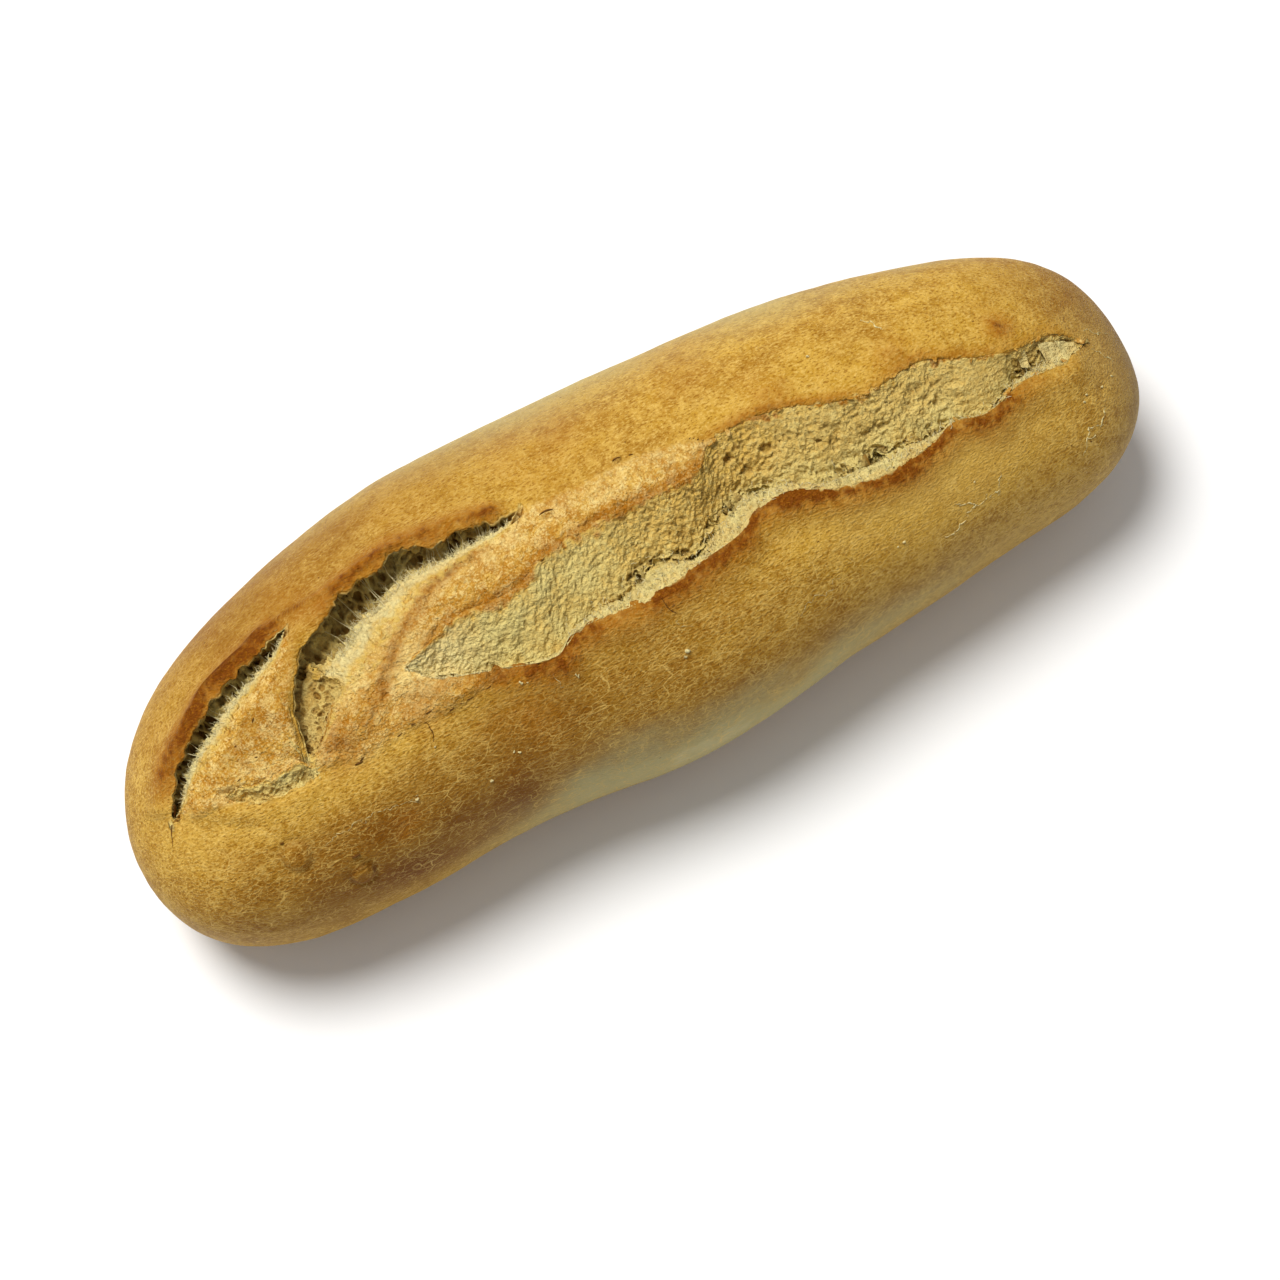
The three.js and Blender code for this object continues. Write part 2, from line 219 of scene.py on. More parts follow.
def skin(x, angle):
    """The unscored skin at x, at an angle from the far side (0) over the top (90 degrees)."""
    sine, cosine = np.sin(angle), np.cos(angle)
    power = np.where(sine >= 0, 2 / TOP_SQUARENESS, 2 / UNDER_SQUARENESS)
    share = np.abs(x) / HALF
    reach = np.where(sine >= 0, (HEIGHT - WIDEST_LEVEL) * rounded(share, CROWN_END),
                     (WIDEST_LEVEL + SOLE_CUT) * rounded(share, SOLE_END))
    y = middle_of(x) + half_width_of(x) * signed_power(cosine, power)
    z = WIDEST_LEVEL + reach * signed_power(sine, power)
    return np.stack([x + 0 * angle, y, z], axis=-1)


def angle_over(x, y):
    """The angle at which the top of the slice at x passes over y."""
    share = np.clip((y - middle_of(x)) / half_width_of(x), -1, 1)
    return np.arccos(signed_power(share, TOP_SQUARENESS / 2))


def top_over(x, y):
    """The point of the unscored top over the place (x, y)."""
    return skin(x, angle_over(x, y))


middle = np.array(0.0)
print(f"the unscored top is {float(top_over(middle, middle)[2]):.1f} mm high at its middle")

# %% [markdown]
# ## Where the scores tore open
#
# The baker's blade made three overlapping cuts. In the oven the first two opened like a lip: the
# crust on the far side lifted, and the dough beside it swelled into a baked tongue. The third
# opened into a long trench of torn crumb. The torn edges are irregular, so each is a list of
# points seen from above, and a smooth curve runs through them.

# %% The torn edges
FIRST_LIP = [
    (-95.3, -7.3), (-93, -4.2), (-90.4, -0.3), (-87.1, 2.6), (-82.6, 5), (-78.2, 7.7),
    (-72, 9.5), (-66.9, 10.8), (-61.4, 13),
]
FIRST_HEEL = [(-95.3, -8.2), (-89.9, -9.6), (-84.8, -10.7), (-77.6, -13.8), (-70.8, -14.1)]
SECOND_LIP = [
    (-69.2, -10.6), (-68.1, -6.8), (-66.9, -1.2), (-63.2, 4), (-60.8, 6.7), (-55.5, 9.4), (-50.3, 12.3),
    (-46.8, 12.8), (-39.8, 14.4), (-34.4, 13.3), (-23.9, 11.5), (-18.7, 10.9), (-14.9, 12),
]
TRENCH_TOP = [
    (-47, -5), (-41.5, -3.7), (-36, -2.1), (-22.5, -2.5), (-16, 0.6), (-3, 1.9), (15, 1.8), (20, 5.9),
    (33, 5.9), (42, 2.7), (50, 1.2), (62, 2.3), (70, -0.8), (78, -2.8), (88, -2.6), (94, -6.2),
]
TRENCH_FLOOR = [
    (-47, -5.5), (-41.5, -9), (-22.5, -14.4), (-16, -11.4), (-5, -9.8), (2.5, -7.9), (9, -9.6),
    (18.5, -4), (27.5, -5.3), (35, -8.6), (46, -8.7), (60, -10.1), (69, -10.4), (78, -6.7), (94, -6.2),
]
TRENCH_LIP = [
    (-47, -5), (-43, -9.4), (-33, -12.9), (-22.5, -15.8), (-16.6, -13.5), (-5, -14.2), (9.5, -12.8),
    (16.8, -11.6), (21, -9.2), (28.5, -9), (36, -12), (46, -13.5), (56, -12.2), (61.5, -10.6),
    (68, -11.6), (77, -9), (86, -8.7), (94, -6.2),
]
trench_top_at, trench_floor_at = through(TRENCH_TOP), through(TRENCH_FLOOR)
trench_lip_at, first_heel_at = through(TRENCH_LIP), through(FIRST_HEEL)
print(len(TRENCH_LIP), "points on the longest edge")

# %% Walking along an edge
# The length over which the direction square to an edge is eased, in mm.
EDGE_EASE = 5.0


class Edge:
    """A line seen from above, such as a torn edge, walked from its left tip, with its near side on
    the right."""

    def __init__(self, points, steps=240):
        points = np.array(points, float)
        chord = np.concatenate([[0], np.cumsum(np.hypot(*np.diff(points, axis=0).T))])
        walk = np.linspace(0, chord[-1], steps)
        self.line = np.stack([through(list(zip(chord, points[:, k])))(walk) for k in (0, 1)], axis=-1)
        ahead = np.gradient(self.line, axis=0)
        self.ahead = ahead / np.hypot(ahead[:, 0], ahead[:, 1])[:, None]
        self.near = np.stack([self.ahead[:, 1], -self.ahead[:, 0]], axis=-1)
        summed = bell(walk[:, None] - walk[None, :], EDGE_EASE) @ self.near
        self.eased_near = summed / np.hypot(summed[:, 0], summed[:, 1])[:, None]
        self.length = float(np.hypot(*np.diff(self.line, axis=0).T).sum())

    def beside(self, x, y):
        """How far each place is from the edge, positive on its near side, and how far along."""
        places = np.stack([x, y], axis=-1)
        gaps = np.hypot(x[:, None] - self.line[:, 0], y[:, None] - self.line[:, 1])
        at = gaps.argmin(axis=1)
        away = places - self.line[at]
        side = np.einsum("ij,ij->i", away, self.near[at])
        return np.where(side >= 0, 1, -1) * gaps[np.arange(len(at)), at], at / (len(self.line) - 1)

    def point(self, share, v):
        """The place v mm to the near side of the edge, at a share of its length."""
        at = np.clip(share, 0, 1) * (len(self.line) - 1)
        rows = np.arange(len(self.line))
        x, y, near_x, near_y = (np.interp(at, rows, side) for side in (*self.line.T, *self.eased_near.T))
        return x + near_x * v, y + near_y * v


first_lip = Edge(FIRST_LIP)
second_lip = Edge(SECOND_LIP)
print(f"the lips are {first_lip.length:.0f} and {second_lip.length:.0f} mm long")

# How wide each lipped score gapes, from the crust edge to the baked tongue, along the edge.
first_gape = through([(0, 0.6), (0.12, 2.6), (0.35, 4.4), (0.6, 4.4), (0.85, 3.0), (1, 0.8)])
second_gape = through([
    (0, 2.0), (0.1, 6.5), (0.22, 9.5), (0.4, 10.4), (0.55, 9.2), (0.7, 6.8), (0.85, 3.6), (1, 1.0),
])

# %% [markdown]
# ## The crust body
#
# The crust is one closed skin. A UV sphere has just the right make-up for it: rings from one end
# to the other, poles that close the tips, and no seam. It is laid on its side, and each of its
# rings becomes a slice of the loaf. Columns of the sphere follow the torn edges, so that a lip is
# a clean row of points and not a staircase.

# %% A sphere relaid as slices
def select_only(*pieces):
    """Selects these pieces, for the next tool to work on. The first of them is the active one."""
    bpy.ops.object.select_all(action="DESELECT")
    for piece in pieces:
        piece.select_set(True)
    bpy.context.view_layer.objects.active = pieces[0]


def shape_of(piece):
    """The points of a piece, in its own units."""
    shape = np.empty(len(piece.data.vertices) * 3)
    piece.data.vertices.foreach_get("co", shape)
    return shape.reshape(-1, 3)


def laid_sphere(name, slices, first_pole, last_pole):
    """A closed piece from slices[ring, column] in mm, running towards -X, with a pole at each end."""
    rings, columns, _ = slices.shape
    bpy.ops.mesh.primitive_uv_sphere_add(segments=columns, ring_count=rings + 1, radius=1, calc_uvs=False)
    piece = bpy.context.object
    piece.name = piece.data.name = name
    unit = shape_of(piece)
    ring = np.rint(np.arccos(np.clip(unit[:, 2], -1, 1)) / math.pi * (rings + 1)).astype(int)
    column = np.rint(np.arctan2(unit[:, 1], unit[:, 0]) / (2 * math.pi) * columns).astype(int) % columns
    places = slices[np.clip(ring - 1, 0, rings - 1), column]
    places[ring == 0] = first_pole
    places[ring == rings + 1] = last_pole
    piece.data.vertices.foreach_set("co", (places * MM).ravel())
    piece.data.update()
    select_only(piece)
    bpy.ops.object.shade_smooth()
    return piece, (ring, column)


def store_share(piece, name, numbers):
    """Stores one number per point under a name, for the material to read."""
    piece.data.attributes.new(name, "FLOAT", "POINT").data.foreach_set("value", numbers)


def paint(piece, where, name, values):
    """Stores values[ring, column] on a relaid sphere, and 0 at its poles."""
    ring, column = where
    rings = values.shape[0]
    numbers = values[np.clip(ring - 1, 0, rings - 1), column]
    store_share(piece, name, np.where((ring == 0) | (ring == rings + 1), 0.0, numbers))


# %% Rings and columns of the crust
RINGS = 470
# The rings are drawn together where the second lip turns to the near side.
LIP_TURN_X, LIP_TURN_REACH, LIP_TURN_PULL = -67.0, 8.0, 0.5
FAR_FLANK_COLUMNS, NEAR_FLANK_COLUMNS, UNDER_COLUMNS = 22, 46, 20


def ring_places():
    share = (np.arange(RINGS) + 0.6) / (RINGS + 0.2)
    x = HALF * lerp(2 * share - 1, np.sin(math.pi * (share - 0.5)), 0.3)
    x = x - LIP_TURN_PULL * (x - LIP_TURN_X) * bell(x - LIP_TURN_X, LIP_TURN_REACH)
    return x[::-1]


def mesh_line(before, edge, after):
    return through(before + list(edge) + after)


print(RINGS, "rings")

# %% Columns that follow the torn edges
TRENCH_LINE_START = [(-HALF, -19), (-72, -18.5), (-66, -14)]
LINES = [
    mesh_line([(-HALF, -9)], FIRST_LIP, [(-50, 25), (-20, 27), (18, 30), (50, 26), (85, 17), (HALF, 12)]),
    mesh_line([(-HALF, -11)], FIRST_HEEL, [(-69.2, -8.6), (-67, 3), (-63, 7.5), (-50, 15.5), (-15, 15),
                                           (18, 20), (85, 10), (HALF, 7)]),
    mesh_line([(-HALF, -16), (-76, -16), (-70.8, -15.3)], SECOND_LIP, [(0, 13), (18, 16.5), (40, 15),
                                                                       (85, 6), (HALF, 3)]),
    mesh_line(TRENCH_LINE_START, TRENCH_TOP, [(HALF, -7)]),
    mesh_line([(x, y - 3.8) for x, y in TRENCH_LINE_START], TRENCH_LIP, [(HALF, -10.8)]),
]
FAR_MARGIN, NEAR_MARGIN = 9.0, 11.0
COLUMNS_BETWEEN = [16, 28, 6, 34, 12, 22]
LEAST_GAP = 0.35
TOP_REACH = 0.9
BUNCHING = 0.65


def bunched(count, last_too=False):
    """Steps from 0 to 1 that crowd towards both ends."""
    t = np.arange(count + (1 if last_too else 0)) / count
    return lerp(t, 0.5 - 0.5 * np.cos(math.pi * t), BUNCHING)


def top_columns(x):
    """The places y at which columns cross the top, from far to near, one row for each ring."""
    lines = [line(x) for line in LINES]
    for i in range(1, len(lines)):
        lines[i] = np.minimum(lines[i], lines[i - 1] - LEAST_GAP)
    stops = [lines[0] + FAR_MARGIN] + lines + [lines[-1] - NEAR_MARGIN]
    parts = []
    for i, count in enumerate(COLUMNS_BETWEEN):
        steps = bunched(count, last_too=i == len(COLUMNS_BETWEEN) - 1)
        parts.append(stops[i][:, None] + (stops[i + 1] - stops[i])[:, None] * steps[None, :])
    wanted = np.concatenate(parts, axis=1)
    reach = TOP_REACH * half_width_of(x)
    far = np.minimum(wanted[:, 0], middle_of(x) + reach)[:, None]
    near = np.maximum(wanted[:, -1], middle_of(x) - reach)[:, None]
    share = (wanted - wanted[:, -1:]) / (wanted[:, :1] - wanted[:, -1:])
    return near + (far - near) * share


# Equal steps along the outline of a middle slice, turned into angles, keep the flanks evenly meshed.
table_angle = np.linspace(0, 2 * math.pi, 2001)
outline = skin(np.zeros_like(table_angle), table_angle)
table_length = np.concatenate([[0], np.cumsum(np.linalg.norm(np.diff(outline, axis=0), axis=1))])


def even_angles(start, end, count):
    """Angles between start and end at equal steps of outline, without start and end themselves."""
    a, b = np.interp(start, table_angle, table_length), np.interp(end, table_angle, table_length)
    steps = (np.arange(count) + 1) / (count + 1)
    return np.interp(a[:, None] + (b - a)[:, None] * steps, table_length, table_angle)


def crust_angles(x):
    top = angle_over(x[:, None], top_columns(x))
    zero, half_turn, full_turn = (np.full(len(x), turn * math.pi) for turn in (0, 1, 2))
    far_flank = even_angles(zero, top[:, 0], FAR_FLANK_COLUMNS)
    near_flank = even_angles(top[:, -1], half_turn, NEAR_FLANK_COLUMNS)
    under = even_angles(half_turn, full_turn, UNDER_COLUMNS)
    return np.concatenate([far_flank, top, near_flank, under], axis=1)


ring_x = ring_places()
angles = crust_angles(ring_x)
print(f"the crust has {angles.shape[0]} rings of {angles.shape[1]} points")

# %% [markdown]
# ## How the scores shape the crust
#
# Beside every torn edge the crust curls up into a rounded rim. At a lip it ends in a ragged, thin
# edge, and below the edge the wall runs back under it. Between the edge and the tongue the crust
# body only makes room: the crumb pieces made later fill that room. All the shapes are functions of
# the place seen from above, so the crust and the crumb can share them.

# %% Rims, lips and hollows of the crust
RIM_RISE, RIM_WIDTH = 1.3, 3.0
EDGE_THICKNESS = 0.55
ROOM_DEPTH, ROOM_UNDERCUT = 11.0, 2.4
# The wall under a lip in steps, from the edge to the foot: how far back it runs, as a share of the
# undercut, and how far it has dropped, in mm.
WALL_STEPS = [0, 0.12, 0.3, 0.55, 0.8, 1]
WALL_BACK = [0, 0.1, -0.05, 1, 1, 0.4]
WALL_DROP = [0, 0.15, EDGE_THICKNESS, 2.4, 7, ROOM_DEPTH]
WALL_SPAN = 1.8
TONGUE_SIDE, TONGUE_CROWN, TONGUE_WIDTH = 1.5, 0.9, 18.0


def ragged(walk, seed):
    """A torn outline: small bites and points along an edge, in mm."""
    places = on_plan(walk)
    bites = np.abs(ripple(places, 3.0, seed)) * 2.4 + np.abs(ripple(places, 1.1, seed + 1)) * 1.3
    return bites + 0.5 * ripple(places, 0.55, seed + 2) - 0.9


def lip_rim(v):
    """How far the crust curls up beside a torn edge, at v mm from it."""
    return RIM_RISE * bell(v + 0.8 * RIM_WIDTH, RIM_WIDTH)


def tongue_crown(v, width):
    return TONGUE_CROWN * between(v, width, width + 4, 0.5 * TONGUE_WIDTH, TONGUE_WIDTH)


def lip_ends(u):
    return between(u, 0, 0.05, 0.9, 1)


def lip_rims(x, y):
    """How far the crust is raised beside both lips, on their far sides."""
    v1, u1 = first_lip.beside(x, y)
    v2, u2 = second_lip.beside(x, y)
    return lip_rim(v1) * (v1 < 0) * lip_ends(u1) + lip_rim(v2) * (v2 < 0) * lip_ends(u2)


def lipped_room(edge, gape, v, u, seed):
    """The shift in x and y and the change of level that a lipped score makes."""
    width, ends = gape(u), lip_ends(u)
    torn = ragged(u * edge.length, seed) * 0.75 * lerp(0.4, 1, smooth(u, 0.15, 0.4))
    torn = torn * bell(np.minimum(v, 0), 1.1) * (v < WALL_SPAN)
    wall = np.clip(v / WALL_SPAN, 0, 1)
    back = -np.interp(wall, WALL_STEPS, WALL_BACK) * ROOM_UNDERCUT
    drop = np.interp(wall, WALL_STEPS, WALL_DROP)
    far_wall = (v > 0) & (v <= WALL_SPAN)
    climb = smooth(v, width - TONGUE_SIDE, width)
    inside = (v > WALL_SPAN) & (v <= width)
    floor_shift = -(0.6 * WALL_SPAN + 0.4 * ROOM_UNDERCUT) * (1 - climb)
    shift = np.where(far_wall, back - v * 0.6, np.where(inside, floor_shift, 0))
    floor_level = -ROOM_DEPTH * (1 - climb) + tongue_crown(v, width)
    level = np.where(v <= 0, lip_rim(v), np.where(far_wall, lip_rim(0) - drop, floor_level))
    normal = edge.near[np.rint(u * (len(edge.near) - 1)).astype(int)]
    across = (shift + torn) * ends
    return np.stack([across * normal[:, 0], across * normal[:, 1], level * ends], axis=-1)


print("rims and lips described")

# %% The trench and the heel
TRENCH_LEFT, TRENCH_RIGHT = -47.0, 94.0
TRENCH_ROOM = 9.5
# Both walls of the trench in steps from the edge down: their drop, and how far they run back.
TRENCH_STEPS = [0, 0.15, 0.35, 0.6, 1]
FAR_DROP, FAR_BACK = [0, 0.2, 0.6, 4, TRENCH_ROOM], [0, 0, 0.2, 0.8, 0.6]
NEAR_DROP, NEAR_BACK = [0, 0.2, 0.7, 4, TRENCH_ROOM], [0, 0, 0.2, 1.0, 0.7]
HEEL_LEFT, HEEL_RIGHT = -87.0, -68.5
HEEL_GAPE, HEEL_ROOM = 3.6, 3.6


def trench_ends(x):
    return between(x, TRENCH_LEFT, TRENCH_LEFT + 4, TRENCH_RIGHT - 5, TRENCH_RIGHT)


def trench_rims(x, y):
    """How far the crust rises beside the long score: a full rim at the lip, a low one across."""
    below_top, above_lip = trench_top_at(x) - y, y - trench_lip_at(x)
    near_rim = RIM_RISE * bell(above_lip + 0.9 * RIM_WIDTH, RIM_WIDTH) * (above_lip < 0)
    far_rim = 0.3 * RIM_RISE * bell(below_top + RIM_WIDTH, RIM_WIDTH) * (below_top < 0)
    return near_rim + far_rim


def trench_room(x, y):
    """The shift in y and the change of level where the long score opened."""
    top, lip = trench_top_at(x), trench_lip_at(x)
    width = np.maximum(top - lip, 0.1)
    wall = np.minimum(1.5, 0.35 * width)
    below_top, above_lip = top - y, y - lip
    inside = (below_top > 0) & (above_lip > 0)
    torn_lip = ragged(x, 31) * 0.9 * bell(np.minimum(above_lip, 0), 1.0)
    torn_top = ragged(x, 37) * 0.9 * bell(np.minimum(below_top, 0), 1.0)
    far_wall, near_wall = np.clip(below_top / wall, 0, 1), np.clip(above_lip / wall, 0, 1)
    far_drop = np.interp(far_wall, TRENCH_STEPS, FAR_DROP)
    near_drop = np.interp(near_wall, TRENCH_STEPS, NEAR_DROP)
    under_lip = -np.interp(near_wall, TRENCH_STEPS, NEAR_BACK) - above_lip * (near_wall < 1)
    under_top = np.interp(far_wall, TRENCH_STEPS, FAR_BACK) + below_top * (far_wall < 1)
    shift = np.where(near_wall < 1, under_lip, np.where(far_wall < 1, under_top, 0)) * 0.8
    outside = np.where(above_lip <= 0, torn_lip, np.where(below_top <= 0, -torn_top, 0))
    edge_level = np.where(below_top < above_lip, 0.11, 0.58) * RIM_RISE
    level = np.where(inside, edge_level - np.minimum(far_drop, near_drop), trench_rims(x, y))
    near_by = (below_top > -4 * RIM_WIDTH) & (above_lip > -4 * RIM_WIDTH)
    return np.where(inside, shift, outside) * trench_ends(x) * near_by, level * trench_ends(x) * near_by


def heel_ends(x):
    return between(x, HEEL_LEFT, HEEL_LEFT + 5, HEEL_RIGHT - 2, HEEL_RIGHT)


def heel_room(x, y):
    """The change of level where the first tongue tore away from the near crust."""
    inside = y - first_heel_at(x) - 0.5 * ragged(x, 41)
    near_side, far_side = smooth(inside, 0, 0.6), 1 - smooth(inside, HEEL_GAPE - 1.4, HEEL_GAPE)
    rim = 0.5 * bell(inside + 1.6, 2.0) * (inside < 0)
    return (rim - HEEL_ROOM * near_side * far_side) * heel_ends(x)


print("trench and heel described")

# %% [markdown]
# ## Small marks of baking
#
# A long soft crease runs just outside the first two lips, where the lifted crust folded. The first
# and second tongues baked with a coarse, blistered skin. Near the left end the crust has a few
# popped blisters. Lists of a few places and sizes are enough for all of these.

# %% Where the crust is creased, coarse or blistered
CREASE = Edge([
    (-90, 2.5), (-87, 5.6), (-82.6, 8.7), (-78.4, 10.9), (-71.4, 12.8), (-66.9, 14.4), (-60.8, 14.9),
    (-53.8, 14.7), (-49.5, 15.2), (-44.1, 15.9), (-34.4, 15.7), (-27.3, 15.0), (-20, 14.6),
])
BAND_FAR_EDGE = through([
    (-20, 12), (-11.9, 11.2), (-4.3, 10.6), (3.7, 10.7), (10, 10.1), (17.1, 8.2), (20.6, 6.3), (30, 5.8),
])
TONGUE_NEAR_EDGE = through([
    (-70, -13.5), (-65.6, -13.8), (-60.3, -15.6), (-52.7, -14.8), (-43.1, -15.2), (-34.4, -14.8),
    (-29.2, -14.4),
])
STREAK = Edge([
    (-58, -11), (-53, -7.5), (-49.3, -3.7), (-46.8, -1.0), (-44.1, 0.8), (-39.1, 3.6), (-34.7, 5.8),
    (-29.2, 7.6), (-22, 9),
])
# Each blister: its place along X, its angle in degrees, how wide and how high it is in mm. The first
# two have popped, and the next two are browned.
BLISTERS = [
    (-78.4, 129, 2.9, -0.7), (-69.6, 151.5, 2.5, -0.8), (-58.5, 139.5, 3.2, 0.35), (-60.1, 144, 2.0, 0.2),
    (87.7, 120.5, 1.3, 0.3), (92, 120, 1.2, 0.3), (30, 70, 4.0, 0.3), (-33, 60, 5.0, 0.35),
    (62, 62, 4.5, 0.3),
]
POPPED, BROWNED = BLISTERS[:2], BLISTERS[2:4]
# Each pit: its place along X, its angle in degrees, its half length and half width in mm.
PITS = [(-11.9, 81, 1.6, 0.7), (-28.4, 83.5, 1.4, 0.8), (3.7, 76, 1.0, 0.6)]


def mark_distance(x, angle, mark_x, mark_angle, half_length=1.0, half_width=1.0):
    """How far each point of the skin is from a mark, in units of the mark's own half sizes."""
    centre = skin(np.array(float(mark_x)), np.array(math.radians(mark_angle)))
    away = skin(x, angle) - centre
    across = np.hypot(away[..., 1], away[..., 2])
    return np.hypot(away[..., 0] / half_length, across / half_width)


def tongue_share(x, y):
    """How far a place of the top belongs to the coarse skin of the tongues."""
    v1, u1 = first_lip.beside(x, y)
    v2, _ = second_lip.beside(x, y)
    beyond_second = smooth(v2, -1.2, -0.2) * (x < -50)
    first = smooth(v1, 0, 1.5) * smooth(y - first_heel_at(x), -0.5, 1.0) * (1 - beyond_second)
    first = first * between(x, -94, -88, -68.5, -60) * (u1 < 0.999)
    far_edge = smooth(np.where(x < -17, v2, BAND_FAR_EDGE(x) - y), 0, 1.5)
    beside_tongue = smooth(y - TONGUE_NEAR_EDGE(x), -1.0, 1.5)
    near_edge = np.where(x < -30, beside_tongue, smooth(y - trench_lip_at(x), -0.5, 0.5))
    second = far_edge * near_edge * between(x, -71, -66, 22, 29) * smooth(v2, -1.5, -0.5)
    return np.clip(np.maximum(first, second), 0, 1)


def coarse(places):
    """The blistered relief of a tongue, in mm, at places seen from above."""
    bent = places + 0.9 * on_plan(ripple(places, 2.5, 55), ripple(places, 2.5, 56))
    inside, label = foam(bent, 2.1, 53)
    bubbles = 0.5 * smooth(inside, 0.0, 0.5) * (label - 0.45)
    return ripples(places, [(0.4, 5.5, 51), (0.34, 0.9, 54)]) + 0.3 * ripple(bent, 2.2, 52) + bubbles


print(len(BLISTERS), "blisters and", len(PITS), "open pits")

# %% Shape the crust
# The angles between which all scores lie, in turns of half a circle, and how deep the pits are.
TOP_START, TOP_END = 0.14, 0.84
PIT_DEPTH = 0.9


def soft_waves(points):
    """The unevenness of proved dough, in mm, along the surface's own normal."""
    return ripples(points, [(0.4, 24, 3), (0.16, 9, 4), (0.05, 3, 5)])


def outward(x, angle):
    """The direction out of the unscored skin."""
    around = skin(x, angle + 0.01) - skin(x, angle - 0.01)
    along = skin(np.clip(x + 0.2, -HALF, HALF), angle) - skin(np.clip(x - 0.2, -HALF, HALF), angle)
    normal = np.cross(along, around)
    return normal / np.maximum(np.linalg.norm(normal, axis=-1, keepdims=True), 1e-9)


grid_x = np.repeat(ring_x[:, None], angles.shape[1], axis=1)
plain = skin(grid_x, angles)
normals = outward(grid_x, angles)
on_top = (angles > TOP_START * math.pi) & (angles < TOP_END * math.pi)
px, py = plain[on_top][:, 0], plain[on_top][:, 1]
top_places = on_plan(px, py)
v1, u1 = first_lip.beside(px, py)
v2, u2 = second_lip.beside(px, py)
vc, uc = CREASE.beside(px, py)


def spread(values):
    """Values known on the top, put back on the whole grid."""
    whole = np.zeros(grid_x.shape)
    whole[on_top] = values
    return whole


tongue = tongue_share(px, py)
in_gap = ((v1 > 0) & (v1 < first_gape(u1)) & (u1 < 1)) | ((v2 > 0) & (v2 < second_gape(u2)) & (u2 < 1))
relief = soft_waves(plain.reshape(-1, 3)).reshape(grid_x.shape)
crease_ends = between(uc, 0, 0.12, 0.88, 1)
crease_line = bell(vc, 0.7) * crease_ends * (0.55 + 0.9 * np.abs(ripple(top_places, 7, 61)))
fold = (0.35 * bell(vc + 2.4, 2.0) - 0.9 * crease_line) * (0.6 + 0.5 * bell(px + 75, 12))
relief += spread(tongue * coarse(top_places) * ~in_gap + fold * crease_ends)
for mark_x, mark_angle, width, height in BLISTERS:
    away = mark_distance(grid_x, angles, mark_x, mark_angle, width, width)
    if height > 0:
        relief += height * bell(away, 0.8)
    else:
        relief += height * (1 - smooth(away, 0.55, 1.0)) - 0.3 * height * bell(away - 1.15, 0.2)
# Painted shade: the open pits are darkened inside.
pit_share = np.zeros(grid_x.shape)
for mark_x, mark_angle, half_length, half_width in PITS:
    away = mark_distance(grid_x, angles, mark_x, mark_angle, half_length, half_width)
    sunk = 1 - smooth(away, 0.5, 1.15)
    relief -= PIT_DEPTH * sunk
    pit_share = np.maximum(pit_share, 0.5 * sunk)
# Painted shadow along the ring of each popped blister, strongest on its upper side, whose wall faces away
# from the light beyond the roll.
for mark_x, mark_angle, width, height in POPPED:
    away = mark_distance(grid_x, angles, mark_x, mark_angle, width, width)
    upper_side = smooth(math.radians(mark_angle + 1.5) - angles, -0.02, 0.03)
    strength = 0.26 if width > 2.7 else 0.6
    pit_share = np.maximum(pit_share, strength * bell(away - 0.9, 0.17) * lerp(0.15, 1, upper_side))
crust_points = plain + normals * relief[..., None]
crust_points[on_top] += lipped_room(first_lip, first_gape, v1, u1, 11)
crust_points[on_top] += lipped_room(second_lip, second_gape, v2, u2, 21)
shift_y, level = trench_room(px, py)
crust_points[on_top] += np.stack([0 * px, shift_y, level + heel_room(px, py)], axis=-1)
crust_points[..., 2] = np.maximum(crust_points[..., 2], 0)
poles = [skin(np.array(side * HALF), np.array(0.0)) for side in (1, -1)]
crust, crust_where = laid_sphere("crust", crust_points, poles[0], poles[1])
print("the crust has", len(crust.data.polygons), "faces")

# %% [markdown]
# ## Feeling the crust
#
# The crumb and all small things are laid on the finished crust, so they need its true level and
# not the plain one. A ray is sent at the crust from outside, and its first hit is the answer.

# %% Rays at the crust
RAY_START, RAY_REACH = 80.0, 6.0
crust_faces = [face.vertices[:] for face in crust.data.polygons]
crust_tree = BVHTree.FromPolygons([point.co for point in crust.data.vertices], crust_faces)


def felt_level(x, y):
    """The level of the finished crust, in mm, at places seen from above."""
    down = Vector((0, 0, -1))
    starts = zip(np.ravel(x).tolist(), np.ravel(y).tolist())
    hits = [crust_tree.ray_cast(Vector((a, b, RAY_START)) * MM, down)[0] for a, b in starts]
    return np.array([hit.z / MM if hit else 0.0 for hit in hits]).reshape(np.shape(x))


def on_crust(x, degrees, above=0.0):
    """The point of the finished crust at x and an angle, moved out by some mm."""
    at = (np.array(float(x)), np.array(math.radians(degrees)))
    start, out = skin(*at), outward(*at)
    hit = crust_tree.ray_cast(Vector((start + RAY_REACH * out) * MM), Vector(-out))[0]
    return (np.array(hit) / MM if hit else start) + above * out


print(f"the crust is {float(felt_level(middle, middle + 12)):.1f} mm high beyond the long score")

# %% [markdown]
# ## Where the crust is brown, pale or coarse, and where shade is painted
#
# Rims and creases stick out into the oven's heat and brown first. Low on both long sides the dough
# lay close to its neighbours and stayed pale. Some of the shares are painted shade: the deep groove
# of the first crease, the open pits, the rings of popped blisters and broad parts low on the near
# flank. These shares are stored on the points of the mesh, and the material reads them by name. A
# little noise breaks up their borders.

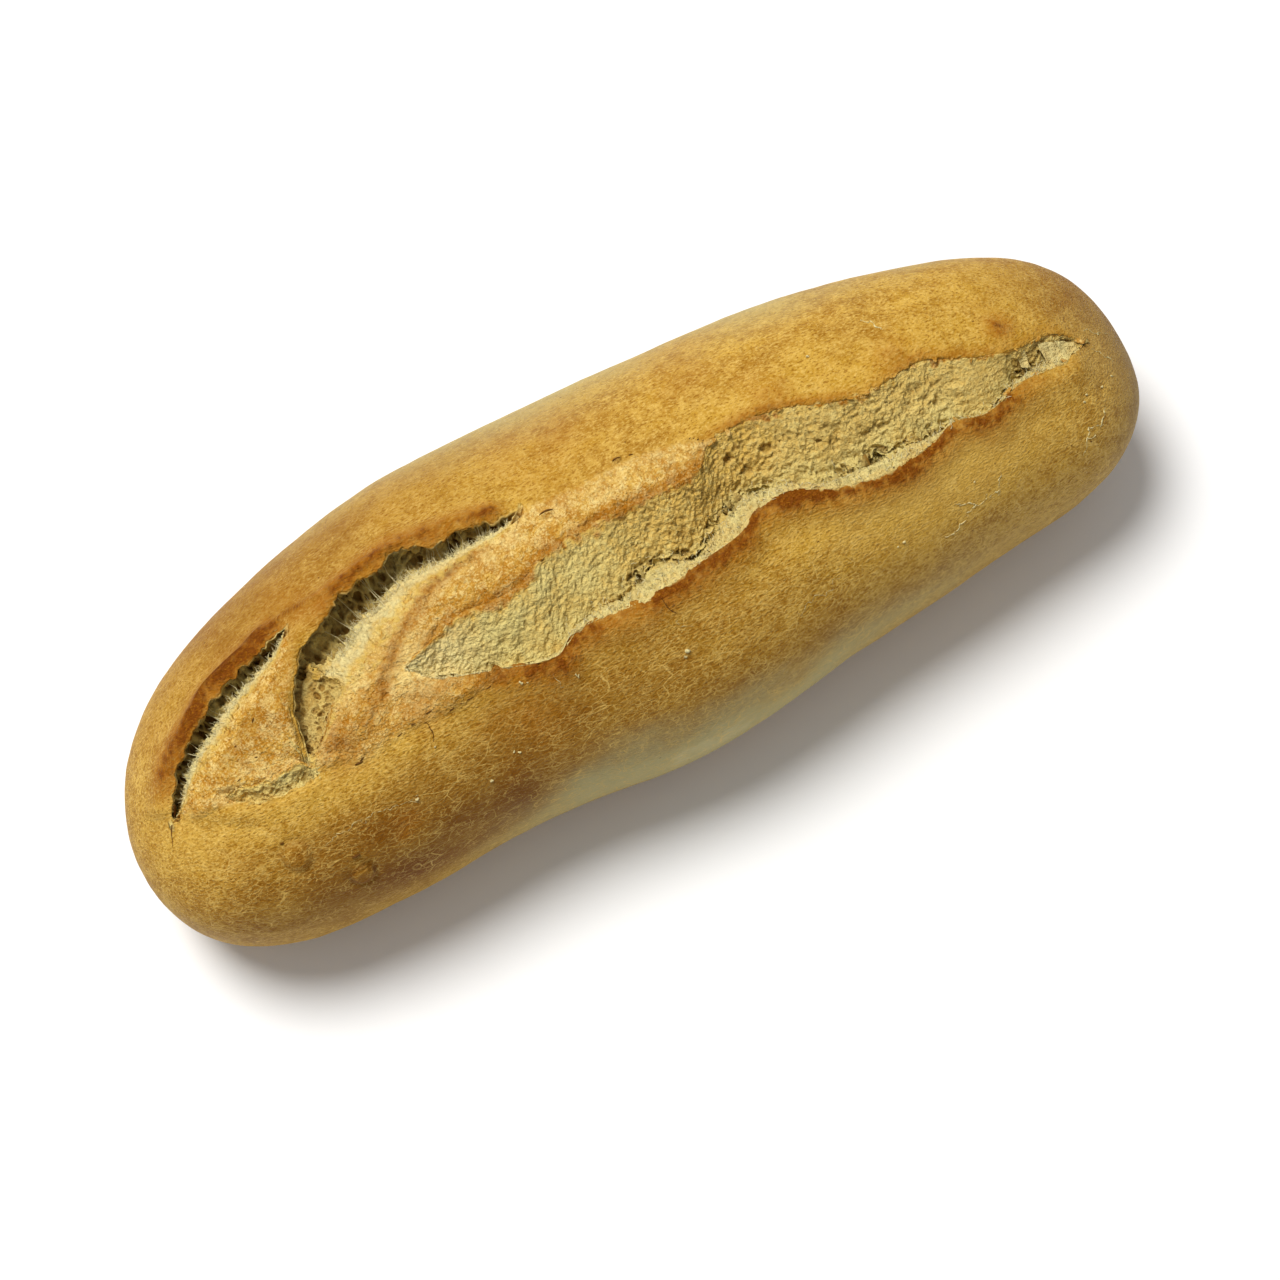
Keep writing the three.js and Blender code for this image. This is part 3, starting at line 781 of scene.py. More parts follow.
# %% Browning of the top
LIP_BROWN = through([
    (-47, 0.1), (-38, 0.45), (-31, 0.85), (-18, 0.95), (-9, 0.6), (0, 0.9), (20, 0.95), (28, 1.0),
    (40, 0.75), (50, 0.95), (60, 0.85), (70, 0.9), (78, 0.45), (86, 0.15), (94, 0),
])
TOP_BROWN = through([
    (-47, 0.3), (-36, 0.7), (-16, 0.8), (-5, 0.85), (14, 0.8), (20, 0.5), (28, 0.9), (38, 0.85),
    (48, 0.45), (58, 0.7), (68, 0.6), (80, 0.4), (90, 0.2), (94, 0),
])
# Each brown spot: x, y, its radius in mm and its strength.
BROWN_SPOTS = [
    (78.9, 2.4, 2.8, 0.8), (-62.5, -11.5, 4.0, 0.7), (-57, -10.5, 3.0, 0.5), (-76, 10.6, 3.0, 0.5),
    (34, 8.5, 4, 0.5), (-46, -12.5, 4, 0.4), (58, 5, 5, 0.35), (-31, -21, 7, 0.35), (-60, 17, 6, 0.2),
    (-5, 23, 9, 0.2), (22, 22, 8, 0.15),
]


# Each broad part of the flanks that is a little darker, or lighter where its strength is below 0: its
# place along X, its angle in degrees, its half length and half width in mm and its strength. The two
# low on the near flank, at 162 degrees, are painted shade where the flank turns down to the floor.
TONE_AND_SHADE_PARTS = [
    (-60, 142, 34, 14, 0.7), (-5, 132, 34, 15, 0.4), (-54, 162, 38, 11, 0.7), (92, 68, 14, 14, 0.25),
    (-66, 40, 38, 17, 0.6), (-22, 45, 28, 14, 0.2), (-30, 126, 24, 8, 0.3), (102, 100, 9, 22, 0.6),
    (-5, 162, 60, 7, 0.3), (-78.4, 129, 2.4, 2.2, 0.5), (-69.6, 151.5, 2.3, 1.8, 0.7),
    (-80, 82, 9, 7, 0.38), (-62, 118, 26, 8, -0.6), (-8, 118, 30, 7, -0.35), (54, 120, 26, 8, -0.5),
    (-93, 105, 8, 12, -0.25), (58, 136, 22, 8, -0.2),
]


print(len(BROWN_SPOTS), "brown spots and", len(TONE_AND_SHADE_PARTS), "broad parts")

# %% How brown and how pale each place is
def browning_and_crease_shade(x, y):
    """How much more than golden the crust is, from 0 to 1, seen from above, with painted shade in the deep
    groove of the first crease.
    """
    places = on_plan(x, y)
    v1, u1 = first_lip.beside(x, y)
    v2, u2 = second_lip.beside(x, y)
    vc, uc = CREASE.beside(x, y)
    vs, us = STREAK.beside(x, y)
    above_lip, above_top = y - trench_lip_at(x), y - trench_top_at(x)
    # Near x = -74 the core of the crease is widened and darkened: painted shade of its deep groove, on top of
    # its browning.
    core = bell(vc, 0.55 + 0.5 * bell(x + 74, 6)) * (0.4 + 0.75 * bell(x + 74, 8) + 0.4 * bell(x + 60, 4))
    halo = bell(vc - 0.8, 2.6) * (0.25 + 0.3 * bell(x + 76, 10))
    shares = [
        1.05 * bell(v1 + 1.9, 2.4) * (v1 < 0.5) * between(u1, 0, 0.25, 0.97, 1),
        0.8 * bell(v2 + 2.0, 2.2) * (v2 < 0.5) * between(u2, 0.3, 0.5, 0.9, 1),
        np.maximum(core, halo) * between(uc, 0, 0.1, 0.85, 1),
        1.08 * LIP_BROWN(x) * bell(above_lip + 0.9, 3.3) * (above_lip < 0.8) * trench_ends(x),
        0.75 * TOP_BROWN(x) * bell(above_top - 0.6, 1.6) * trench_ends(x),
        0.75 * bell(vs, 1.6) * between(us, 0, 0.1, 0.85, 1),
    ]
    for spot_x, spot_y, radius, strength in BROWN_SPOTS:
        shares.append(strength * bell(np.hypot(x - spot_x, y - spot_y), radius))
    patchy = 1 + ripples(places, [(0.3, 4.5, 71), (0.3, 1.5, 73), (0.35, 0.8, 74)])
    return np.clip(np.maximum.reduce(shares) * patchy + 0.1 * ripple(places, 6, 72), 0, 1)


def pale_band(x, angle):
    """How pale the low flanks are, with borders that drift in and out."""
    places = skin(x, angle).reshape(-1, 3)
    sway = ripples(places, [(1.0, 26, 81), (0.5, 9, 82), (0.2, 2.5, 84)]).reshape(x.shape)
    along, turn = x + 16 * sway, angle + 0.2 * sway
    far_turn = np.where(turn > 1.5 * math.pi, turn - 2 * math.pi, turn)
    far = between(far_turn, -0.6, -0.1, 0.2, 1.0)
    far = far * between(along, -80, -10, 40, 98) * ((angle < 1.5) | (angle > 5))
    near = between(turn, 2.55, 3.05, 3.3, 3.7)
    near = near * smooth(along, -72, -15) * (1 - 0.8 * smooth(along, 12, 65))
    end = 0.2 * smooth(x, 84, 101) * between(angle, 0.9, 1.9, 2.5, 3.5)
    return np.clip(0.7 * far + 0.88 * near + end, 0, 1)


# Its place along X, its angle in degrees, its half length and half width in mm.
SOLE_PATCH = (-2.0, 177.0, 8.2, 3.6)
SOLE_PATCH_TORN, SOLE_TOAST = 0.16, 0.4


def sole_patch(x, angle):
    """Where a strip of crust at the sole's edge stayed pale because the roll lay against another."""
    patch_x, patch_angle, half_length, half_width = SOLE_PATCH
    away = mark_distance(x, angle, patch_x, patch_angle)
    sideways = np.sqrt(np.maximum(away**2 - (x - patch_x) ** 2, 0))
    flat = (np.abs(x - patch_x) / half_length) ** 4 + (sideways / half_width) ** 4
    worn = 1.1 * ripple(skin(x, angle).reshape(-1, 3), 2.6, 85).reshape(x.shape)
    return 1 - smooth(flat + worn, 0.2, 1.5)


print("browning and paleness described")

# %% Shares of the whole crust
# Painted shade along the deepest part of the first crease.
fold_line = bell(vc + 0.1, 0.4) * crease_ends * (0.55 * bell(px + 73, 7) + 0.25 * bell(px + 60, 4))
pit_share = np.maximum(pit_share, spread(fold_line * (1 + 0.5 * ripple(top_places, 1.6, 86))))
gap_wall = in_gap & (np.minimum(np.abs(v1), np.abs(v2)) > 0.35)
in_trench = (trench_top_at(px) - py > 0.3) & (py - trench_lip_at(px) > 0.3)
in_trench &= (px > TRENCH_LEFT + 1) & (px < TRENCH_RIGHT - 1)
above_heel = py - first_heel_at(px)
in_heel = (above_heel > 0.3) & (above_heel < HEEL_GAPE) & (px > HEEL_LEFT + 2) & (px < HEEL_RIGHT)
torn = spread(gap_wall | in_trench | in_heel)
brown = spread(browning_and_crease_shade(px, py))
for mark_x, mark_angle, width, height in BROWNED:
    away = mark_distance(grid_x, angles, mark_x, mark_angle, width, width)
    brown = np.maximum(brown, 0.4 * bell(away, 0.85))
# Broad darker and lighter parts, the sole's browning, and painted shade low on the near flank.
toast_and_shade = np.zeros(grid_x.shape)
for mark_x, mark_angle, half_length, half_width, strength in TONE_AND_SHADE_PARTS:
    away = mark_distance(grid_x, angles, mark_x, mark_angle, half_length, half_width)
    toast_and_shade = toast_and_shade + (1 - np.abs(toast_and_shade)) * strength * bell(away, 1.0)
toast_and_shade = np.clip(toast_and_shade * (1 + 0.5 * ripple(plain.reshape(-1, 3), 9, 83).reshape(grid_x.shape)), -1, 1)
far_gap = np.where(px < -17, v2 - second_gape(u2), BAND_FAR_EDGE(px) - py)
light_band = 0.28 * bell(far_gap - 2.0, 3.2) * (px > -57)
light_tongue = np.maximum(light_band, 0.8 * bell(np.hypot(px + 45, py + 6.5), 6.0))
on_sole = 1 - smooth(plain[..., 2], 0.2, 2.5)
toast_and_shade = toast_and_shade - spread(light_tongue * tongue) + SOLE_TOAST * on_sole
torn = np.maximum(torn, SOLE_PATCH_TORN * sole_patch(grid_x, angles))
shares = {"torn": torn, "baked": spread(tongue), "browned": brown, "toast_and_shade": toast_and_shade,
          "pale": pale_band(grid_x, angles), "pit": pit_share}
for name, values in shares.items():
    paint(crust, crust_where, name, values)
print("browning, paleness and coarseness stored")

# %% [markdown]
# ## The crumb
#
# Torn crumb is a foam of thin-walled pores. It is made in beds, one for each opening, each a
# closed body with a fine skin on its open side. A bed is laid along its own edge, so that its rows
# follow the tear however it bends. It runs a little under the crust on both sides, like a filling.

# %% A bed of crumb
BED_UNDER_COLUMNS = 7
# Places times this are seen from above.
FLAT = np.array([1, 1, 0])


def grid_normals(points):
    """The direction out of a grid of points that runs towards -X and from far to near."""
    normal = np.cross(np.gradient(points, axis=1), np.gradient(points, axis=0))
    normal = normal / np.maximum(np.linalg.norm(normal, axis=-1, keepdims=True), 1e-9)
    return normal * np.where(normal[..., 2].mean() < 0, -1, 1)


def flat_walk(points):
    """Distances in mm along the rows' middle and across each row, as places for a pattern."""
    steps = np.linalg.norm(np.diff(points, axis=1), axis=-1)
    across = np.concatenate([np.zeros((len(points), 1)), np.cumsum(steps, axis=1)], axis=1)
    middle = points[:, points.shape[1] // 2]
    along = np.concatenate([[0], np.cumsum(np.linalg.norm(np.diff(middle, axis=0), axis=1))])
    return np.stack([along[:, None] + 0 * across, across, 0 * across], axis=-1)


def lay_bed(name, surface, depth):
    """A closed body under the open surface[row, column], bulging down by depth mm."""
    steps = (np.arange(BED_UNDER_COLUMNS) + 1) / (BED_UNDER_COLUMNS + 1)
    near, far = surface[:, -1:], surface[:, :1]
    under = near + (far - near) * steps[None, :, None]
    low = surface[..., 2].min(axis=1, keepdims=True)
    size = np.linalg.norm((far - near)[..., :2], axis=-1)
    bulge = np.minimum(depth, 0.5 * size) * np.sin(math.pi * steps)[None, :] ** 0.5
    under[..., 2] = np.minimum(under[..., 2], low) - bulge
    slices = np.concatenate([surface, under], axis=1)
    first, last = slices[0].mean(axis=0), slices[-1].mean(axis=0)
    return laid_sphere(name, slices, first, last)


def with_under(values):
    """Values of the open surface, carried on round the hidden side."""
    return np.concatenate([values, np.repeat(values[:, -1:], BED_UNDER_COLUMNS, axis=1)], axis=1)


def pores(places, size, depth, seed, least=0.25, wall=0.45):
    """Open pores about size mm wide and up to depth mm deep, as a relief in mm."""
    inside, label = foam(places.reshape(-1, 3), size, seed)
    hollow = (least + (1 - least) * label**1.5) * smooth(inside, 0.04, wall)
    return -depth * hollow.reshape(places.shape[:-1])


def lumps(places, size, seed):
    """Soft noise from -1 to 1 on a grid of places, with lumps about size mm across."""
    return ripple(places.reshape(-1, 3), size, seed).reshape(places.shape[:-1])


def drift(places, size, seed, other_seed):
    """A soft shift of each place along and across the bed, from -1 to 1."""
    return on_plan(lumps(places, size, seed), lumps(places, size, other_seed))


def pore_layers(layers):
    """Several layers of pores. Each has what pores() asks for, and then its share at each place."""
    return sum(pores(*pore) * share for *pore, share in layers)


def crust_level(x, y):
    """The crust's level at a place seen from above, with its waves and rims but without an opening."""
    points = top_over(x, y).reshape(-1, 3)
    waves = soft_waves(points)
    return (points[:, 2] + waves + lip_rims(x.ravel(), y.ravel())).reshape(x.shape)


print("crumb tools ready")

# %% The long trench of crumb
BED_ROWS = 720
TRENCH_DEPTH = through([
    (-47, 0.6), (-43, 1.8), (-36, 2.6), (-22, 3.4), (-10, 4.4), (0, 5.2), (18, 6.2), (30, 6.2), (45, 5.4),
    (60, 4.4), (70, 4.0), (78, 3.8), (86, 3.6), (91, 2.0), (94, 0.4),
])
CREVICE = through([
    (-20, 0), (-10, 0.25), (-5, 0.8), (4, 1.1), (14, 1.0), (24, 0.7), (30, 0.35), (38, 0.6), (45, 1.0),
    (56, 0.8), (62, 0.2), (68, 0.5), (74, 0.9), (80, 0.7), (86, 0.2), (94, 0),
])
# Across the bed, in steps: the slope from the top edge down to its torn foot, the crack under the
# foot, and the ledge that rises to the near lip. Each is a number of columns.
SLOPE_COLUMNS, CRACK_COLUMNS, LEDGE_COLUMNS = 66, 22, 34
# The crack where it is widest: how far to the near side of the slope's foot, and how far below it.
CRACK_PROFILE = through([(0, 0), (0.25, 0.3), (0.5, -0.9), (0.75, -0.3), (1, 1.1)])
CRACK_FALL = through([(0, 0), (0.25, 0.9), (0.5, 2.3), (0.75, 3.0), (1, 1.4)])


def eased(column, reach):
    """A column of numbers, each replaced by a soft mean of those up to reach rows away."""
    weights = np.hanning(2 * reach + 1)
    padded = np.pad(column.ravel(), reach, mode="edge")
    return np.convolve(padded, weights / weights.sum(), mode="valid")[:, None]


def lift_beside(x, y):
    """How far the finished crust lies above its plain level beside an opening, eased along X."""
    return eased(felt_level(x, y) - crust_level(x, y), 4)


def crack_at(x):
    """The crack's size along the trench. It opens and closes every few millimetres."""
    walk = on_plan(x.ravel())
    opening = np.clip(0.3 + ripples(walk, [(0.6, 5, 46), (1.0, 1.4, 47)]), 0.05, 0.8)
    return CREVICE(x) * opening.reshape(x.shape)


def trench_bed():
    """The open surface of the trench, and how far across it each point is: from 0 at the top edge
    to 1 at the foot of the slope, 2 at the end of the crack and 3 at the near lip."""
    share = (np.arange(BED_ROWS) + 0.5) / BED_ROWS
    x = lerp(TRENCH_RIGHT + 0.6, TRENCH_LEFT - 0.6, share)[:, None]
    top, lip = trench_top_at(x), trench_lip_at(x)
    lowest_foot = lip + 0.1 * (top - lip)
    foot = np.clip(trench_floor_at(x) + 0.5 * ragged(x.ravel(), 45)[:, None], lowest_foot, top)
    tuck = 1.1 * np.minimum(1, (top - lip) / 2)
    crack, depth = crack_at(x), TRENCH_DEPTH(x)
    down = np.linspace(0, 1, SLOPE_COLUMNS)[None, :]
    slope_y = lerp(top + tuck, foot, down)
    fall = np.clip((top - slope_y) / np.maximum(top - foot, 0.1), -0.3, 1)
    edge_z = lerp(0.1, -0.2 + 0.35 * lumps(x * np.array([1, 0, 0]), 3.5, 48)[:, None], smooth(x, 12, 22))
    soft_fall = lerp(fall, smooth(fall, -0.1, 1.05), 0.55)
    slope_z = edge_z + np.where(fall < 0, 3.5 * fall, -(depth + edge_z) * soft_fall)
    turn = ((np.arange(CRACK_COLUMNS) + 1) / CRACK_COLUMNS)[None, :]
    calm = smooth(turn, 0.45, 0.9)
    calm_foot = np.clip(trench_floor_at(x) + 0.25, lowest_foot, top)
    crack = lerp(crack, 0.8 * eased(crack, 15), calm)
    crack_y = lerp(foot, calm_foot, calm) - CRACK_PROFILE(turn) * crack
    crack_z = -depth - CRACK_FALL(turn) * crack
    up = ((np.arange(LEDGE_COLUMNS) + 1) / LEDGE_COLUMNS)[None, :]
    start_y, start_z = np.maximum(crack_y[:, -1:], lip), crack_z[:, -1:]
    ledge_y = lerp(start_y, lip - tuck, up)
    rise = np.clip((ledge_y - lip) / np.maximum(start_y - lip, 0.1), -0.6, 1)
    ledge_top = -0.12 - 1.5 * np.maximum(rise, 0) ** 0.8 + 2.2 * np.minimum(rise, 0)
    ledge_z = lerp(ledge_top, start_z, smooth(rise, 0.45, 1.0))
    y = np.concatenate([slope_y, crack_y, ledge_y], axis=1)
    z = np.concatenate([slope_z, crack_z, ledge_z], axis=1)
    across = np.concatenate([fall, 1 + turn + 0 * crack_y, 3 - rise], axis=1)
    wide_x = x + 0 * y
    level = crust_level(wide_x, y) + z * trench_ends(wide_x)
    level += lift_beside(x, top + 0.9) * (1 - smooth(across, 0, 0.7))
    level += lift_beside(x, lip - 0.9) * smooth(across, 2.1, 3.0)
    return np.stack([wide_x, y, level], axis=-1), across


print("the bed of the trench is described")

# %% The relief of the trench
# Along the trench: how stringy its slope is, how close its net of pores, and how open the big pores.
STRANDS = through([(-47, 0.3), (-42, 0.5), (-5, 0.45), (8, 0.4), (20, 0.25), (94, 0.15)])
NET = through([
    (-47, 0.5), (-42, 0.15), (-15, 0.2), (0, 0.5), (20, 0.75), (45, 0.7), (62, 0.5), (70, 0.2), (78, 0.3),
    (84, 0.5), (94, 0.2),
])
OPEN_PORES = through([
    (-47, 0.8), (-42, 0.2), (14, 0.2), (20, 1.5), (31, 1.6), (38, 1.1), (45, 0.9), (57, 0.9), (64, 0.8),
    (69, 0.3), (75, 0.3), (77.5, 2.0), (83, 2.2), (88, 1.0), (94, 0),
])


def trench_relief(surface, across):
    """The relief of the torn crumb: strands on the slope, pores everywhere, and torn layers."""
    walk = flat_walk(surface)
    x = surface[..., 0]
    here = on_plan(x, walk[..., 1]) + 0.7 * drift(walk, 3.5, 91, 90) + 0.35 * drift(walk, 1.0, 89, 88)
    along, sideways = -0.37 * here[..., 0] + 0.93 * here[..., 1], 0.93 * here[..., 0] + 0.37 * here[..., 1]
    on_slope = between(across, -0.02, 0.12, 0.97, 1.1)
    on_ledge = between(across, 2.1, 2.3, 2.95, 3.1)
    torn_foot = between(across, 0.78, 0.95, 2.05, 2.3) * np.clip(CREVICE(x) * 1.3, 0, 1)
    near_wall = between(across, 1.6, 1.9, 2.3, 2.6)
    fine_share = on_slope * (1 - 0.5 * smooth(x, 10, 24))
    relief = pore_layers([
        (on_plan(sideways / 2.0, along / 6), 1.0, 1.0, 92, 0.1, 0.45, 1.1 * STRANDS(x) * on_slope),
        (on_plan(sideways / 0.8, along / 1.7), 1.0, 0.3, 99, 0.1, 0.4, on_slope),
        (on_plan(sideways / 0.42, along / 1.3), 1.0, 0.3, 81, 0.1, 0.4, fine_share),
        (here, 1.1, 1.0, 93, 0.1, 0.35, lerp(0.7 * NET(x), 0.8, on_ledge)),
        (here, 0.7, 0.5, 87, 0.1, 0.4, lerp(0.5, 1.7, on_ledge)),
        (here * (0.7, 1, 1), 1.5, 1.5, 83, 0.0, 0.3, torn_foot),
        (here, 1.7, 1.3, 82, 0.0, 0.35, near_wall),
    ])
    open_pores = np.abs(pores(here * (0.8, 1, 1), 2.3, 1.0, 94, 0.0, 0.4)) ** 1.6
    opened = between(across, 0.08, 0.4, 0.93, 1.05) * smooth(lumps(here, 9, 84), -0.5, 0.3)
    relief += 0.5 * lumps(here, 2.6, 80) * near_wall - open_pores * OPEN_PORES(x) * opened
    relief += lerp(0.25, 0.42, smooth(x, 10, 26)) * lumps(here, 4.5, 95)
    relief += 0.1 * lumps(here, 1.5, 96) + 0.14 * lumps(here, 0.5, 97)
    torn_layers = 1.9 * lumps(here, 6.0, 98) % 1
    torn_steps = smooth(torn_layers, 0.82, 0.95) - torn_layers + 0.5
    relief += torn_steps * lerp(0.12, 0.3, smooth(x, 36, 48)) * on_slope
    smooth_sheet = between(x, 66, 70, 75, 78) * on_slope
    relief = lerp(relief, 0.35 * relief + 0.5 * lumps(here, 5, 85), smooth_sheet)
    return relief * smooth(across, -0.02, 0.14)


print("the relief of the trench is described")

# %% Lay the crumb of the trench
trench_surface, trench_across = trench_bed()
relief = trench_relief(trench_surface, trench_across)
calmed = relief * lerp(1.0, 0.4, smooth(trench_across, 2.9, 3.05))
trench_surface += grid_normals(trench_surface) * calmed[..., None]
crumb_trench, trench_where = lay_bed("crumb_trench", trench_surface, 2.0)
print("the trench of crumb has", len(crumb_trench.data.polygons), "faces")

# %% Colour shares of the trench
def store(piece, where, **shares):
    """Stores the shares of a crumb bed, all of which is torn."""
    shares["torn"] = np.ones(shares["pit"].shape)
    for name, values in shares.items():
        paint(piece, where, name, with_under(np.clip(values, 0, 1)))


x = trench_surface[..., 0]
places = trench_surface * FLAT
speckle = lumps(places, 2.2, 101) + 0.7 * lumps(places, 0.9, 102)
edge_toast = 1 - smooth(trench_across + 0.16 * speckle, -0.02, lerp(0.16, 0.06, smooth(x, 12, 22)))
high_toast = lerp(0.4, 0.25, smooth(x, 24, 40)) * smooth(x, -8, 20)
high_toast = high_toast * (1 - smooth(trench_across, 0.45, 0.95)) * (0.75 + 0.5 * speckle)
lip_toast = 0.4 * smooth(trench_across + 0.3 * speckle, 2.75, 3.0) * smooth(x, 20, 60)
on_ledge = smooth(trench_across, 2.1, 2.3)
cavity = between(x, 77, 80, 90, 93) * between(trench_across, 0.2, 0.55, 2.2, 2.6)
in_crack = between(trench_across, 0.98, 1.1, 2.0, 2.2) * smooth(crack_at(x), 0.05, 0.5)
gold = smooth(x + 6 * speckle, -22, 5) * lerp(0.8, 0.5, smooth(x, 24, 40))
gold = gold * (1 - smooth(trench_across, lerp(0.75, 0.35, smooth(x, 24, 34)), 1.1))
# Painted shade: the crumb is darker the deeper its pores, in the open crack and in the cavity at the right
# tip, and a little less on the ledge.
store(crumb_trench, trench_where, gold=gold, browned=0.75 * TOP_BROWN(x) * edge_toast,
      baked=np.maximum.reduce([edge_toast, high_toast, lip_toast]),
      pit=(-0.3 - relief) / 2.3 + 0.3 * in_crack - 0.1 * on_ledge + 0.3 * cavity,
      pale=0.12 * on_ledge * (1 - in_crack) + 0.25 * (1 - smooth(x, -42, -28)))
print("crumb colours stored")

# %% [markdown]
# ## Crumb in the lipped scores
#
# Under a lip the crumb tore deep, so there the bed starts on the dark far wall, with pores as big
# as peas, crosses a floor, and climbs a stringy slope to the tongue. The slope is fibrous because
# the dough was drawn out as it tore. The bed ends as a thin coarse layer on top of the tongue, in
# step with the tongue's own relief, so that no seam shows.

# %% Beds in the lipped scores
# The far wall, floor and slope across a gap 10 mm wide: distance from the lip and level, in mm.
GAP_PROFILE = [
    (-2.8, -0.7), (-1.9, -1.6), (-1.2, -2.8), (-0.7, -4.2), (0.2, -5.8), (1.6, -6.6), (3.0, -6.0),
    (4.4, -4.4), (6.0, -2.7), (8.0, -1.1), (10.0, -0.2),
]
TONGUE_LAP = 3.4
GAP_COLUMNS, LAP_COLUMNS = 90, 26


def gap_bed(edge, gape, depth_share, rows):
    """The open surface of a lipped score, and how far across the gap each point is, from 0 at the
    lip to 1 at the tongue."""
    share = (1 - (np.arange(rows) + 0.5) / rows)[:, None]
    width = gape(share)
    profile = np.array(GAP_PROFILE)
    steps = np.concatenate([[0], np.cumsum(np.hypot(*np.diff(profile, axis=0).T))])
    walk = np.linspace(0, 1, GAP_COLUMNS)
    v_of, z_of = (through(list(zip(steps / steps[-1], profile[:, k]))) for k in (0, 1))
    squeeze = width / 10
    v = v_of(walk)[None, :] * np.where(v_of(walk) > 0, squeeze, np.minimum(squeeze * 1.6, 1))
    z = z_of(walk)[None, :] * squeeze**0.6 * depth_share(share)
    lap = (np.arange(LAP_COLUMNS) + 1) / LAP_COLUMNS
    lap_v = width + TONGUE_LAP * np.minimum(1, 0.3 + width / 6) * lap[None, :]
    v = np.concatenate([v, lap_v], axis=1)
    ends = between(share, -0.01, 0.04, 0.93, 1.01)
    x, y = edge.point(share + 0 * v, v * lerp(0.35, 1, ends))
    rims = trench_rims(x, y) * trench_ends(x)
    level = crust_level(x, np.where(v < 0, edge.point(share + 0 * v, 0 * v)[1], y)) + rims
    laid = felt_level(x[:, GAP_COLUMNS:], y[:, GAP_COLUMNS:]) + 0.1 - 0.9 * smooth(lap, 0.7, 1.0)[None, :]
    level[:, :GAP_COLUMNS] += z * ends - 0.5 * (1 - ends)
    join = smooth(walk, 0.86, 1.0)[None, :]
    level[:, :GAP_COLUMNS] = lerp(level[:, :GAP_COLUMNS], laid[:, :1] + z, join)
    level[:, GAP_COLUMNS:] = laid
    return np.stack([x, y, level], axis=-1), v / width


def gap_relief(surface, v_share, seed, bubble, fibre):
    """Big pores on the far wall and the floor, strands on the slope, and next to nothing on the
    tongue. The bubbles and the fibres are so many mm across."""
    walk = flat_walk(surface)
    deep = 1 - smooth(v_share, 0.3, 0.62)
    slope = between(v_share, 0.3, 0.55, 0.9, 1.2)
    tongue = smooth(v_share, 0.7, 1.05)
    wander = drift(walk, 3, seed + 1, seed + 9)
    relief = pore_layers([
        (walk * (1, 0.8, 1) + 1.2 * wander, bubble, 2.0, seed, 0.45, 0.22, deep),
        (walk + 0.6 * wander, 1.1, 0.8, seed + 2, 0.2, 0.28, (0.45 + 0.55 * deep) * (1 - 0.7 * tongue)),
        ((walk + 1.1 * wander) * (1, 0.4, 1), fibre, 0.35, seed + 3, 0.2, 0.4, slope),
    ])
    relief += 0.14 * lumps(walk, 0.45, seed + 4) + 0.35 * lumps(walk, 1.3, seed + 5) * (1 - tongue)
    return lerp(relief, 0.1 * lumps(walk, 0.45, seed + 4), tongue)


print("gap beds described")

# %% The pocket of the second score
# At the left end of the second score a shallow pocket of crumb is cut off by a torn ridge.
RIDGE = Edge([
    (-62.4, 8.0), (-61.5, 5.6), (-60.6, 3.4), (-59.2, 1.1), (-57.8, -1.3), (-57.2, -3.6), (-57.4, -6.5),
])


def second_pocket(surface, v_share):
    """The new level of the bed where the pocket and its ridge are, and how far a place is inside it."""
    x, y, z = (surface[..., k] for k in range(3))
    beside, along = (values.reshape(x.shape) for values in RIDGE.beside(x.ravel(), y.ravel()))
    walk = on_plan(12 * along)
    crook = 0.8 * lumps(walk, 2.2, 171)
    open_part = between(v_share, 0.0, 0.1, 0.8, 1.0)
    inside = smooth(beside + crook, -0.3, 0.6) * (x < -54) * open_part
    crest = bell(beside + crook, 0.6) * between(along, 0, 0.12, 0.85, 1) * open_part
    level = lerp(z, crust_level(x, y) - 2.5, inside)
    return lerp(level, crust_level(x, y) - 1.1 + 0.9 * lumps(walk, 1.2, 172), crest), inside, crest


print("the pocket is described")

# %% Lay both beds
def second_depth(share):
    """How deep the second gap is along the score, as a share of the profile."""
    return lerp(0.34, 1, smooth(share, 0.14, 0.42)) * lerp(1, 0.8, smooth(share, 0.6, 0.9))


def first_depth(share):
    """How deep the first gap is: the same all along."""
    return 0.8 + 0 * share


